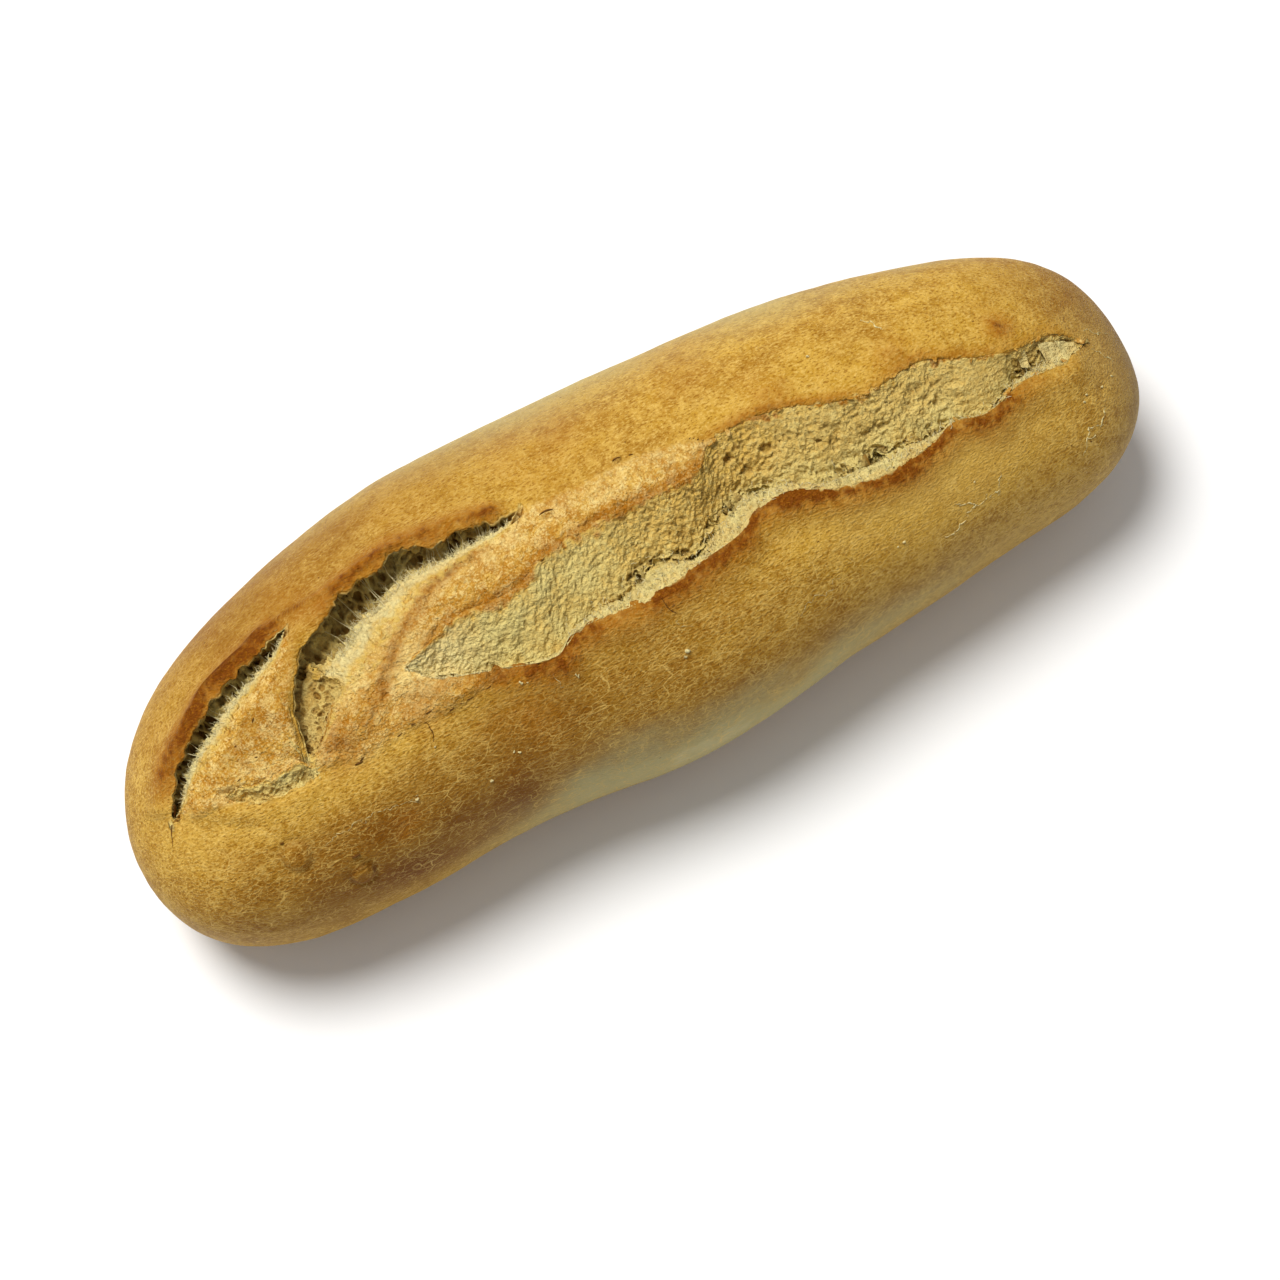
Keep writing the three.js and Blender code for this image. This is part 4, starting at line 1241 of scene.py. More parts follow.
def lay_gap_bed(name, edge, gape, depth_share, rows, seed, bubble, fibre, pocket=None):
    surface, v_share = gap_bed(edge, gape, depth_share, rows)
    inside = crest = 0 * v_share
    if pocket is not None:
        surface[..., 2], inside, crest = pocket(surface, v_share)
    relief = gap_relief(surface, v_share, seed, bubble, fibre)
    holes = flat_walk(surface)
    holes = pores(holes, 1.4, 1.1, seed + 12, 0.1, 0.3) + pores(holes, 0.7, 0.5, seed + 13)
    relief = lerp(relief, holes, 0.85 * inside)
    tucked = smooth(np.arange(surface.shape[1]) / GAP_COLUMNS, 0, 0.12)[None, :]
    surface = surface + grid_normals(surface) * (relief * tucked)[..., None]
    piece, where = lay_bed(name, surface, 1.5)
    places = surface * FLAT
    speckle = lumps(places, 1.8, seed + 7) + 0.5 * lumps(places, 0.8, seed + 8)
    baked = smooth(v_share + 0.25 * speckle, 0.55, 1.3) * (1 - inside) + 0.15 * inside + 0.45 * crest
    # Painted shade: darker in deep pores, near the lip where the gap is deepest, and in the pocket.
    deep = np.maximum(1 - smooth(v_share, 0.25, 0.5), inside)
    pit = (-0.4 - relief) / lerp(2.2, 1.7, deep) * (1 - smooth(v_share, 0.7, 1.0))
    pit += 0.06 * deep + 0.34 * inside
    brown = browning_and_crease_shade(surface[..., 0].ravel(), surface[..., 1].ravel()).reshape(v_share.shape)
    store(piece, where, baked=baked, browned=brown * smooth(v_share, 0.8, 1.0), pit=pit, gold=0.15 * inside,
          pale=0.3 * between(v_share, 0.3, 0.5, 0.75, 1.05) * (1 - inside))
    if pocket is not None:
        paint(piece, where, "toast_and_shade", with_under(-0.3 * smooth(v_share, 0.9, 1.1)))
    print(name, "has", len(piece.data.polygons), "faces")
    return piece, surface, v_share


crumb_second, second_surface, second_v = lay_gap_bed(
    "crumb_second", second_lip, second_gape, second_depth, rows=380, seed=111, bubble=2.4, fibre=0.8,
    pocket=second_pocket)
crumb_first, first_surface, first_v = lay_gap_bed(
    "crumb_first", first_lip, first_gape, first_depth, rows=240, seed=131, bubble=1.7, fibre=0.6)

# %% The torn heel of the first tongue
HEEL_ROWS, HEEL_COLUMNS = 120, 44


def heel_bed():
    share = (np.arange(HEEL_ROWS) + 0.5) / HEEL_ROWS
    x = lerp(HEEL_RIGHT + 1.2, HEEL_LEFT - 0.5, share)[:, None]
    across = np.linspace(-0.25, 1.3, HEEL_COLUMNS)[None, :]
    wide_x = x + 0 * across
    ends = heel_ends(wide_x)
    y = first_heel_at(wide_x) + HEEL_GAPE * (1 - across) * lerp(0.5, 1, ends)
    z = 0.1 - 1.9 * smooth(across, 0.1, 0.85) + 0.5 * smooth(across, 0.8, 1.0)
    z = z - 2.0 * smooth(across, 1.02, 1.3)
    z = z * ends - 1.2 * (1 - smooth(across, -0.25, 0.0)) - 0.6 * (1 - ends)
    return np.stack([wide_x, y, crust_level(wide_x, y) + z], axis=-1), across + 0 * wide_x


heel_surface, heel_across = heel_bed()
walk = flat_walk(heel_surface)
bent = walk + drift(walk, 2, 155, 156)
relief = pores(bent, 1.2, 0.7, 151, 0.1) + pores(bent, 0.6, 0.35, 152) + 0.3 * lumps(walk, 1.8, 153)
heel_surface += grid_normals(heel_surface) * relief[..., None]
crumb_heel, heel_where = lay_bed("crumb_heel", heel_surface, 1.0)
speckle = lumps(heel_surface * FLAT, 1.5, 154)
baked_edge = 1 - smooth(heel_across + 0.3 * speckle, 0.05, 0.35)
# Painted shade in the heel's deeper pores.
store(crumb_heel, heel_where, baked=baked_edge, pit=(-0.35 - relief) / 2.0)
print("the heel has", len(crumb_heel.data.polygons), "faces")

# %% [markdown]
# ## The finish: baked dough
#
# Crust and crumb are one dough, baked more or less. So one material serves every piece, and the
# shares stored on the points say where it is crust, tongue or crumb. The crust is a stack of
# plain layers: soft mottling at three sizes, a net of fine pale cracks, tiny dark dots, then the
# browning of the rims and the paleness of the low flanks. Painted shade darkens pores, pits, slits,
# the first crease and the low near flank, and painted glints lighten the brown rims. All patterns
# are read from the Object coordinates, so they run on from one piece to the next.

# %% Tools for mixing a finish
FLAKE_EDGE = 0.12


def colour(code):
    """A colour for the shader from the usual six-digit code."""
    parts = [int(code[i:i + 2], 16) / 255 for i in (0, 2, 4)]
    linear = [p / 12.92 if p <= 0.04045 else ((p + 0.055) / 1.055) ** 2.4 for p in parts]
    return (*linear, 1.0)


def colours(*codes):
    return [colour(code) for code in codes]


class Recipe:
    """A material, mixed by adding one node at a time."""

    def __init__(self, name):
        self.material = bpy.data.materials.new(name)
        self.material.use_nodes = True
        self.tree = self.material.node_tree
        self.shader = self.tree.nodes["Principled BSDF"]
        object_place = self.add("TexCoord").outputs["Object"]
        self.place = self.vector("SCALE", object_place, scale=1 / MM)

    def add(self, kind, **settings):
        node = self.tree.nodes.new("ShaderNode" + kind)
        for key, value in settings.items():
            setattr(node, key, value)
        return node

    def wire(self, value, socket):
        if isinstance(value, bpy.types.NodeSocket):
            self.tree.links.new(value, socket)
        else:
            socket.default_value = value

    def vector(self, operation, a, b=None, scale=None):
        node = self.add("VectorMath", operation=operation)
        self.wire(a, node.inputs[0])
        if b is not None:
            self.wire(b, node.inputs[1])
        if scale is not None:
            node.inputs["Scale"].default_value = scale
        return node.outputs[0]

    def math(self, operation, a, b=0.5):
        node = self.add("Math", operation=operation)
        self.wire(a, node.inputs[0])
        self.wire(b, node.inputs[1])
        return node.outputs[0]

    def step(self, value, low, high, start=0.0, end=1.0):
        node = self.add("MapRange", interpolation_type="SMOOTHSTEP")
        self.wire(value, node.inputs["Value"])
        for name, number in (("From Min", low), ("From Max", high), ("To Min", start), ("To Max", end)):
            node.inputs[name].default_value = number
        return node.outputs["Result"]

    def mix(self, share, a, b, blend="MIX"):
        node = self.add("Mix", data_type="RGBA", blend_type=blend)
        self.wire(share, node.inputs["Factor"])
        self.wire(a, node.inputs[6])
        self.wire(b, node.inputs[7])
        return node.outputs[2]

    def stored(self, name):
        return self.add("Attribute", attribute_name=name).outputs["Fac"]

    def apart(self, vector):
        """The three parts of a vector, as X, Y and Z."""
        split = self.add("SeparateXYZ")
        self.wire(vector, split.inputs[0])
        return split.outputs

    def times(self, a, b):
        return self.math("MULTIPLY", a, b)

    def greater(self, a, b):
        return self.math("MAXIMUM", a, b)

    def squeezed(self, share):
        """The places squeezed along X, so that a pattern read there is drawn out along the roll."""
        return self.vector("MULTIPLY", self.place, (share, 1, 1))

    def pattern(self, kind, place, size, **settings):
        """A pattern node, read at these places, with features size mm across."""
        node = self.add(kind, **settings)
        self.wire(place, node.inputs["Vector"])
        node.inputs["Scale"].default_value = 1 / size
        return node

    def noise(self, place, size, detail=2.0, roughness=0.5):
        node = self.pattern("TexNoise", place, size)
        node.inputs["Detail"].default_value = detail
        node.inputs["Roughness"].default_value = roughness
        return node.outputs["Fac"]

    def wander(self, place, size, reach):
        """The places, each moved by up to about reach mm, so that a pattern loses its straightness."""
        colours_there = self.pattern("TexNoise", place, size).outputs["Color"]
        shift = self.vector("SUBTRACT", colours_there, (0.5, 0.5, 0.5))
        return self.vector("ADD", place, self.vector("SCALE", shift, scale=2 * reach))

    def cell_walls(self, place, size):
        """How far each place is from the walls of cells size mm across, in cell sizes."""
        return self.pattern("TexVoronoi", place, size, feature="DISTANCE_TO_EDGE").outputs["Distance"]

    def cracks(self, place, size, width):
        """Thin lines, 1 on the line, round cells size mm across."""
        return self.step(self.cell_walls(place, size), 0.0, width / size, 1.0, 0.0)

    def ridges(self, place, size, width):
        """Thin wandering lines, 1 where a soft noise passes its middle value."""
        off_middle = self.math("ABSOLUTE", self.math("SUBTRACT", self.noise(place, size, 3, 0.6), 0.5))
        return self.step(off_middle, 0.0, width, 1.0, 0.0)

    def patchwork(self, place, size):
        """A random number for each flake about size mm across, and thin lines between the flakes."""
        flakes = self.pattern("TexVoronoi", place, size, feature="F1").outputs["Color"]
        return self.apart(flakes)["X"], self.cracks(place, size, FLAKE_EDGE)

    def dots(self, place, size, width):
        """Dots width mm across, one in each cell size mm across."""
        distance = self.pattern("TexVoronoi", place, size, feature="F1").outputs["Distance"]
        return self.step(distance, 0.4 * width / size, width / size, 1.0, 0.0)

    def layers(self, tone, coats):
        """Lays coats of colour over a tone. Each coat: the pattern it follows, where in the pattern
        it starts and is full, its least and its greatest share, and its colour."""
        for follows, low, high, least, greatest, tint in coats:
            tone = self.mix(self.step(follows, low, high, least, greatest), tone, tint)
        return tone

    def toasted_and_shaded(self, tone, toast_and_shade, darker, lighter, light):
        """Darkens a tone where toast is above 0, which is browning and in places painted shade, and lightens
        it where light is.
        """
        tone = self.mix(self.greater(toast_and_shade, 0.0), tone, darker)
        return self.mix(self.greater(light, 0.0), tone, lighter)

    def bump(self, height, distance):
        node = self.add("Bump")
        self.wire(height, node.inputs["Height"])
        node.inputs["Distance"].default_value = distance * MM
        node.inputs["Strength"].default_value = 1.0
        return node.outputs["Normal"]


print("recipe tools ready")

# %% The colours of dough
CRUST_LIGHT, CRUST_MID, CRUST_DEEP, CRUST_BROWN = colours("d8b054", "b78a28", "885806", "9a6a14")
# Two of these colours also paint shade: the toast brown is browning and painted shade low on the near flank,
# and the pit brown is dark specks and painted shade in pits, slits and the crease.
TOAST_AND_SHADE_BROWN, CRACK_PALE, BAND_PALE, SHADE_AND_SPECK_BROWN = colours("7a4802", "deba66", "b4ab79", "4c2208")
# The lightest rim colour is a painted highlight: glints on the browned rims.
RIM_BROWN, RIM_ORANGE, RIM_PAINTED_GLINT = colours("6b3602", "9c5a06", "b87c1c")
TONGUE_GOLD, TONGUE_ORANGE, TONGUE_CREAM, TONGUE_YELLOW = colours("d4a84c", "ae741c", "edd288", "dab656")
# The deep crumb colour is both darker grit and painted shade in deep pores and cracks.
CRUMB_PALE, CRUMB_YELLOW, CRUMB_GRIT_AND_SHADE, CRUMB_SHADE = colours("dbca82", "dab256", "80591a", "a88a42")
THREAD_CREAM = colour("efe6b8")
# The net of cracks grows clearer from the first of these to the second, along Y and along X, in mm.
NET_SIDE, NET_END = (-8.0, -26.0), (-60, -92)
# How dull the dough is, from crust to crumb, how little it shines, and how deep its finest relief is.
DULLNESS, SHINE, GRAIN_DEPTH = (0.5, 0.8), 0.07, 0.25

print("colours ready")

# %% Recipes for crust, tongues and crumb
def crust_net(r, to_wall, near_side):
    """The fine pale cracks: drawn-out fibres everywhere, and a net on the near side."""
    fibres = r.ridges(r.vector("MULTIPLY", r.wander(r.place, 2.2, 0.5), (0.38, 1, 1)), 1.25, 0.02)
    fibres = r.times(fibres, r.step(r.noise(r.place, 3.5, 3, 0.6), 0.42, 0.6, 0.15, 0.9))
    bent = r.wander(r.wander(r.place, 12, 3.0), 2.6, 0.45)
    long_net = r.cracks(r.vector("MULTIPLY", bent, (0.4, 1, 1)), 3.0, 0.09)
    long_net = r.times(long_net, r.step(r.noise(r.place, 7, 3, 0.6), 0.42, 0.6))
    close_net = r.step(r.noise(r.place, 2.2, 4, 0.75), 0.43, 0.58, 0.0, 0.8)
    close_net = r.times(r.step(to_wall, 0.0, 0.08, 1.0, 0.0), close_net)
    return r.greater(r.times(r.greater(long_net, close_net), near_side), r.times(fibres, 0.75))


def crust_recipe(r, small, grain):
    """The colour of plain crust with the net of cracks in it."""
    drawn = r.squeezed(0.5)
    tone = r.math("ADD", r.times(r.noise(drawn, 20, 2), 0.5), r.times(r.noise(drawn, 5, 4, 0.66), 0.5))
    plain = r.layers(CRUST_BROWN, [
        (tone, 0.36, 0.62, 0.0, 1.0, CRUST_MID),
        (small, 0.35, 0.7, 0.1, 0.6, CRUST_LIGHT),
        (r.noise(r.squeezed(0.7), 3.6, 3, 0.6), 0.54, 0.68, 0.0, 0.3, CRUST_DEEP),
    ])
    side = r.apart(r.place)
    near_side = r.greater(r.step(side["Y"], *NET_SIDE, 0.3, 1.0), r.step(side["X"], *NET_END, 0.0, 0.9))
    close_bent = r.wander(r.wander(r.place, 2.0, 0.7), 0.5, 0.22)
    to_wall = r.cell_walls(r.vector("MULTIPLY", close_bent, (0.6, 1, 1)), 1.05)
    plain = r.mix(r.times(r.step(to_wall, 0.0, 0.4), r.times(near_side, 0.3)), plain, CRUST_DEEP)
    plain = r.layers(plain, [
        (grain, 0.52, 0.68, 0.0, 0.58, CRACK_PALE),
        (grain, 0.46, 0.33, 0.0, 0.75, CRUST_DEEP),
    ])
    toast_and_shade = r.stored("toast_and_shade")
    plain = r.toasted_and_shaded(plain, toast_and_shade, TOAST_AND_SHADE_BROWN, CRUST_LIGHT, r.times(toast_and_shade, -1.0))
    plain = r.mix(r.stored("pale"), plain, BAND_PALE)
    return r.mix(r.times(crust_net(r, to_wall, near_side), 0.74), plain, CRACK_PALE)


def tongue_recipe(r, flaky, grit, browned, rim_tone):
    """The colour of the coarse skin of the tongues, in cream, gold and orange shreds."""
    flakes, flake_edge = r.patchwork(r.wander(r.wander(r.place, 3, 1.2), 0.8, 0.75), 2.2)
    tone = r.layers(TONGUE_GOLD, [
        (r.noise(r.place, 5, 5, 0.7), 0.4, 0.62, 0.0, 0.85, TONGUE_ORANGE),
        (flakes, 0.6, 1.0, 0.0, 0.45, TONGUE_CREAM),
        (flakes, 0.4, 0.0, 0.0, 0.4, TONGUE_ORANGE),
        (flaky, 0.5, 0.66, 0.0, 0.7, TONGUE_CREAM),
        (flaky, 0.48, 0.34, 0.0, 0.6, TONGUE_ORANGE),
        (grit, 0.52, 0.68, 0.0, 0.62, TONGUE_CREAM),
        (grit, 0.48, 0.34, 0.0, 0.72, TONGUE_ORANGE),
    ])
    tone = r.mix(r.times(flake_edge, r.step(flaky, 0.4, 0.55, 0.0, 0.45)), tone, RIM_ORANGE)
    toast_and_shade = r.stored("toast_and_shade")
    light = r.times(r.times(toast_and_shade, -1.0), r.step(flaky, 0.36, 0.54, 0.35, 1.0))
    tone = r.toasted_and_shaded(tone, toast_and_shade, TOAST_AND_SHADE_BROWN, TONGUE_CREAM, light)
    return r.mix(r.times(browned, 0.85), tone, rim_tone)


def crumb_recipe(r, crumbs, grit, pit):
    """The colour of torn crumb, yellower where it toasted, and with painted shade deep in its pores and
    cracks.
    """
    gold = r.greater(r.step(r.noise(r.place, 6, 3, 0.55), 0.38, 0.64, 0.1, 0.6), r.stored("gold"))
    # The deep crumb colour is darker grit at random, and painted shade in deep pores and cracks.
    tone = r.layers(r.mix(gold, CRUMB_PALE, CRUMB_YELLOW), [
        (crumbs, 0.46, 0.64, 0.0, 0.6, CRUMB_PALE),
        (r.noise(r.wander(r.place, 4, 1.2), 3.4, 3, 0.6), 0.48, 0.64, 0.0, 0.34, CRUMB_SHADE),
        (grit, 0.46, 0.34, 0.0, 0.25, CRUMB_GRIT_AND_SHADE),
        (pit, 0.02, 0.95, 0.0, 0.95, CRUMB_GRIT_AND_SHADE),
    ])
    return r.mix(r.stored("pale"), tone, THREAD_CREAM)


print("recipes ready")

# %% Mix the baked dough
def mix_dough():
    r = Recipe("baked_dough")
    torn, baked, browned, pit = (r.stored(name) for name in ("torn", "baked", "browned", "pit"))
    small = r.noise(r.place, 2.6, 3, 0.6)
    grain = r.noise(r.squeezed(0.55), 0.4, 2, 0.6)
    grit = r.noise(r.wander(r.place, 1.2, 0.3), 0.42, 2, 0.6)
    flaky = r.noise(r.wander(r.place, 1.5, 0.5), 1.3, 4, 0.65)
    crumbs = r.noise(r.place, 0.8, 3, 0.65)

    rim_tone = r.mix(r.step(r.math("ADD", browned, r.times(grain, 0.9)), 0.85, 1.65), RIM_ORANGE, RIM_BROWN)
    # Painted highlight: small light glints speckled over the browned rims.
    rim_tone = r.layers(rim_tone, [(grit, 0.54, 0.7, 0.0, 0.38, RIM_PAINTED_GLINT)])
    crust_tone = r.mix(browned, crust_recipe(r, small, grain), rim_tone)
    # Painted shade in pits, slits and the crease, and real dark specks, all in one dark brown.
    specks = r.times(r.dots(r.place, 3.4, 0.3), r.step(r.noise(r.place, 6, 1), 0.5, 0.62))
    crust_tone = r.mix(r.greater(pit, r.times(specks, 0.6)), crust_tone, SHADE_AND_SPECK_BROWN)
    tongue_tone = tongue_recipe(r, flaky, grit, browned, rim_tone)

    open_tone = r.mix(baked, crumb_recipe(r, crumbs, grit, pit), tongue_tone)
    half_baked = r.times(r.step(baked, 0.1, 0.5), r.step(baked, 1.0, 0.6, 0.0, 1.0))
    half_baked = r.times(half_baked, r.step(flaky, 0.56, 0.42, 0.15, 0.6))
    open_tone = r.mix(half_baked, open_tone, TONGUE_YELLOW)
    tone = r.mix(torn, r.mix(baked, crust_tone, tongue_tone), open_tone)
    r.wire(tone, r.shader.inputs["Base Color"])
    coarse_share = r.greater(torn, baked)
    r.wire(r.step(coarse_share, 0.0, 1.0, *DULLNESS), r.shader.inputs["Roughness"])
    r.shader.inputs["Specular IOR Level"].default_value = SHINE

    rough_share = r.greater(coarse_share, r.times(browned, 0.7))
    rough_height = r.math("ADD", r.times(crumbs, 2.0), r.times(flaky, 3.4))
    height = r.math("ADD", r.times(grain, 1.5), r.times(rough_height, rough_share))
    r.wire(r.bump(height, GRAIN_DEPTH), r.shader.inputs["Normal"])
    return r.material


baked_dough = mix_dough()
print("the dough is mixed")

# %% [markdown]
# ## Threads, thin sheets and flakes
#
# Dough is elastic, so as a score tears it draws out threads between the lip and the slope, and the
# last ones stay when it bakes. At the right end whole thin sheets of it are left. Along the torn
# edges the brittle crust breaks into small curled flakes. A thread is a short curve with a taper,
# turned into a mesh. A flake is modelled once, given a thickness, and copied.

# %% Threads in the gaps
rng = random.Random(7)


def dress(piece, **shares):
    """Gives every point of a piece the same shares, and the piece its finish."""
    for name, share in shares.items():
        store_share(piece, name, [share] * len(piece.data.vertices))
    piece.data.materials.clear()
    piece.data.materials.append(baked_dough)


def thread_mesh(name, paths):
    """Tapered threads, each through its own points in mm, as one mesh with closed tips."""
    curve = bpy.data.curves.new(name, "CURVE")
    curve.dimensions = "3D"
    curve.bevel_depth = MM
    curve.bevel_resolution = 0
    curve.use_fill_caps = True
    for points, radii in paths:
        spline = curve.splines.new("POLY")
        spline.points.add(len(points) - 1)
        for knot, place, radius in zip(spline.points, points, radii):
            knot.co = (*(place * MM), 1)
            knot.radius = radius
    piece = bpy.data.objects.new(name, curve)
    bpy.context.scene.collection.objects.link(piece)
    select_only(piece)
    bpy.ops.object.convert(target="MESH")
    piece.data.name = name
    return piece


def drawn_thread(root, towards, length, radius, steps=5):
    """A thread that leaves its root towards a direction and wanders a little."""
    towards = towards / np.linalg.norm(towards)
    place, points = root - 0.3 * towards, []
    for _ in range(steps):
        points.append(place)
        towards = towards + np.array([rng.gauss(0, 0.4), rng.gauss(0, 0.4), rng.gauss(-0.06, 0.3)])
        towards = towards / np.linalg.norm(towards)
        place = place + towards * length / (steps - 1)
    return points, [radius * lerp(1.0, 0.35, k / (steps - 1)) for k in range(steps)]


print("thread tools ready")

# %% Draw the threads
BRIDGING = 0.02
BRIDGE_RADII = [0.1, 0.06, 0.05, 0.06, 0.1]


def gap_threads(surface, v_share, count, reach, low, high, last_row):
    """Loose threads from the slope towards the lip, and a few that still bridge the gap."""
    rows, paths = len(surface), []
    for _ in range(count):
        row = int(lerp(0.06, last_row, rng.random()) * rows)
        past_lip = np.where(v_share[row] > 0, v_share[row], np.inf)
        column = int(np.argmin(np.abs(past_lip - lerp(low, high, rng.random()))))
        root = surface[row, column]
        far_wall = surface[row, int(GAP_COLUMNS * lerp(0.12, 0.3, rng.random()))]
        span = np.linalg.norm(far_wall - root)
        if rng.random() < BRIDGING:
            centre = (root + far_wall) / 2 + np.array([rng.gauss(0, 0.4), 0, rng.gauss(-0.2, 0.25)])
            bridge = [root, (root + centre) / 2, centre, (centre + far_wall) / 2, far_wall]
            paths.append((bridge, BRIDGE_RADII))
        else:
            lean = np.array([rng.gauss(0, 0.55), rng.gauss(0, 0.3), lerp(0.2, 1.6, rng.random())])
            lean = lean + (far_wall - root) / max(span, 0.1)
            length = min(lerp(0.25, 1.0, rng.random() ** 1.5) * reach, 0.6 * span)
            paths.append(drawn_thread(root, lean, length, lerp(0.05, 0.095, rng.random())))
    return paths


def trench_threads(count):
    """Short fuzz on the ledge and on the torn foot of the slope."""
    paths = []
    while len(paths) < count:
        row = int(lerp(0.06, 0.8, rng.random()) * BED_ROWS)
        target = rng.choice([0.97, 2.35, 2.6, 2.85])
        column = int(np.argmin(np.abs(trench_across[row] - target - rng.gauss(0, 0.08))))
        sideways = rng.gauss(0, 0.5)
        lean = np.array([sideways, rng.gauss(0.5 if target > 2 else -0.6, 0.4), lerp(0.5, 1.3, rng.random())])
        length, radius = lerp(0.6, 1.7, rng.random()), lerp(0.06, 0.1, rng.random())
        paths.append(drawn_thread(trench_surface[row, column], lean, length, radius))
    return paths


paths = gap_threads(second_surface, second_v, 1000, 2.2, 0.2, 0.6, last_row=0.68)
paths += gap_threads(first_surface, first_v, 520, 1.9, 0.25, 0.75, last_row=0.9)
threads = thread_mesh("crumb_threads", paths + trench_threads(700))
dress(threads, torn=1.0, pale=0.7)
print("the threads have", len(threads.data.polygons), "faces")

# %% One flake, many copies
def thin_sheet(name, length, width, thickness, columns=5, rows=4):
    """A flat sheet of crust or crumb with its middle at the origin, ready to be bent."""
    bpy.ops.mesh.primitive_grid_add(x_subdivisions=columns, y_subdivisions=rows, size=1)
    sheet = bpy.context.object
    sheet.name = sheet.data.name = name
    bpy.ops.object.mode_set(mode="EDIT")
    bpy.ops.mesh.select_all(action="SELECT")
    bpy.ops.transform.resize(value=(length * MM, width * MM, 1))
    bpy.ops.object.mode_set(mode="OBJECT")
    solidify = sheet.modifiers.new("thickness", "SOLIDIFY")
    solidify.thickness = thickness * MM
    solidify.offset = 0
    bpy.ops.object.modifier_apply(modifier=solidify.name)
    return sheet


def copied(name, pattern, shapes):
    """Copies of a piece, one for each shape in mm, joined to one piece."""
    copies = []
    for shape in shapes:
        mesh = pattern.data.copy()
        mesh.vertices.foreach_set("co", (shape * MM).ravel())
        copies.append(bpy.data.objects.new(name, mesh))
        bpy.context.scene.collection.objects.link(copies[-1])
    select_only(*copies)
    bpy.ops.object.join()
    joined = bpy.context.object
    joined.name = joined.data.name = name
    bpy.ops.object.shade_smooth()
    return joined


def crumpled(points, size, seed):
    """A soft shift of each point in all three directions, from -1 to 1."""
    return np.stack([ripple(points, size, seed + k) for k in range(3)], axis=-1)


def bent_copies(name, pattern, places, seed):
    """Copies of a thin sheet. Each place is x, y and z in mm, its turn, tilt and roll in degrees,
    its scale and its curl."""
    flat = shape_of(pattern) / MM
    size = np.abs(flat).max(axis=0)
    shapes = []
    for k, (x, y, z, turn, tilt, roll, scale, curl) in enumerate(places):
        shape = flat * scale
        corner = np.abs(flat[:, 0] / size[0]) ** 2
        shape[:, 1] *= 1 - 0.45 * corner
        shape[:, 2] += curl * (flat[:, 0] ** 2 / size[0] + 0.6 * flat[:, 1] ** 2 / size[1])
        shape += 0.22 * scale * size[1] * crumpled(flat, 0.7, seed + 3 * k)
        turned = Euler([math.radians(v) for v in (roll, tilt, turn)]).to_matrix()
        shapes.append(shape @ np.array(turned).T + np.array([x, y, z]))
    return copied(name, pattern, shapes)


print("copying tools ready")

# %% Flakes along the trench
def level_at(x, y):
    """The level of the rim beside the trench at one place seen from above."""
    x, y = np.array([float(x)]), np.array([float(y)])
    return float((crust_level(x, y) + trench_rims(x, y) * trench_ends(x))[0])


def edge_flakes(stations, edge_at, side, spread, above, least, greatest, rareness):
    """Flakes along an edge of the trench. The side is -1 on the far edge and 1 on the near one, and
    a higher rareness leaves fewer big flakes."""
    for x in stations:
        y = float(edge_at(x)) + side * abs(rng.gauss(0.1, spread))
        turn, tilt, roll = rng.gauss(10 * side, 45), rng.gauss(0, 12), rng.gauss(-14 * side, 14)
        scale, curl = lerp(least, greatest, rng.random() ** rareness), rng.gauss(0.05, 0.15)
        yield x, y, level_at(x, y) + above, turn, tilt, roll, scale, curl


flake = thin_sheet("flake", 2.2, 1.0, 0.2)
far_stations = (x + rng.gauss(0, 1.6) for x in np.linspace(20, 93, 26))
flake_places = list(edge_flakes(far_stations, trench_top_at, -1, 0.35, 0.12, 0.2, 1.0, 1.8))
flake_places += edge_flakes(np.linspace(62, 92, 14), trench_lip_at, 1, 0.3, 0.1, 0.25, 0.9, 1.5)
crust_flakes = bent_copies("crust_flakes", flake, flake_places, 201)
dress(crust_flakes, torn=0.25, baked=0.85, browned=0.25)
print("the flakes have", len(crust_flakes.data.polygons), "faces")

# %% Thin sheets of dough across the cavity at the right tip
# Each sheet hangs between four corners: far left, far right, near right and near left. A corner is
# its place seen from above and how far it lies below the crust, in mm.
SHEETS = [
    [(79.6, -3.1, 1.0), (81.4, -3.0, 0.8), (81.0, -6.6, 2.2), (79.4, -6.0, 2.4)],
    [(84.3, -3.1, 0.5), (88.4, -3.9, 0.6), (88.2, -8.1, 1.3), (84.1, -8.0, 2.0)],
    [(87.8, -3.8, 0.3), (91.4, -5.1, 0.4), (91.2, -7.1, 0.7), (87.6, -8.0, 1.1)],
]


CRUMPLE = 0.4


def hung_sheets(name, pattern, corners, sag):
    """Copies of a thin sheet, each hung between four corners and sagging by so many mm."""
    flat = shape_of(pattern) / MM
    across, along = flat[:, 0] / np.abs(flat[:, 0]).max(), flat[:, 1] / np.abs(flat[:, 1]).max()
    to_right, to_far = ((across + 1) / 2)[:, None], ((along + 1) / 2)[:, None]
    slack = (1 - across**2) * (1 - along**2)
    shapes = []
    for k, four in enumerate(corners):
        four = [np.array([x, y, level_at(x, y) - below]) for x, y, below in four]
        far_left, far_right, near_right, near_left = four
        hung = lerp(lerp(near_left, near_right, to_right), lerp(far_left, far_right, to_right), to_far)
        hung = hung + crumpled(hung, 1.3, 401 + 7 * k) * CRUMPLE
        hung[:, 2] += flat[:, 2] - sag * slack
        shapes.append(hung)
    return copied(name, pattern, shapes)


sheet_pattern = thin_sheet("sheet", 4.0, 4.0, 0.08, 12, 12)
dough_sheets = hung_sheets("dough_sheets", sheet_pattern, SHEETS, 0.6)
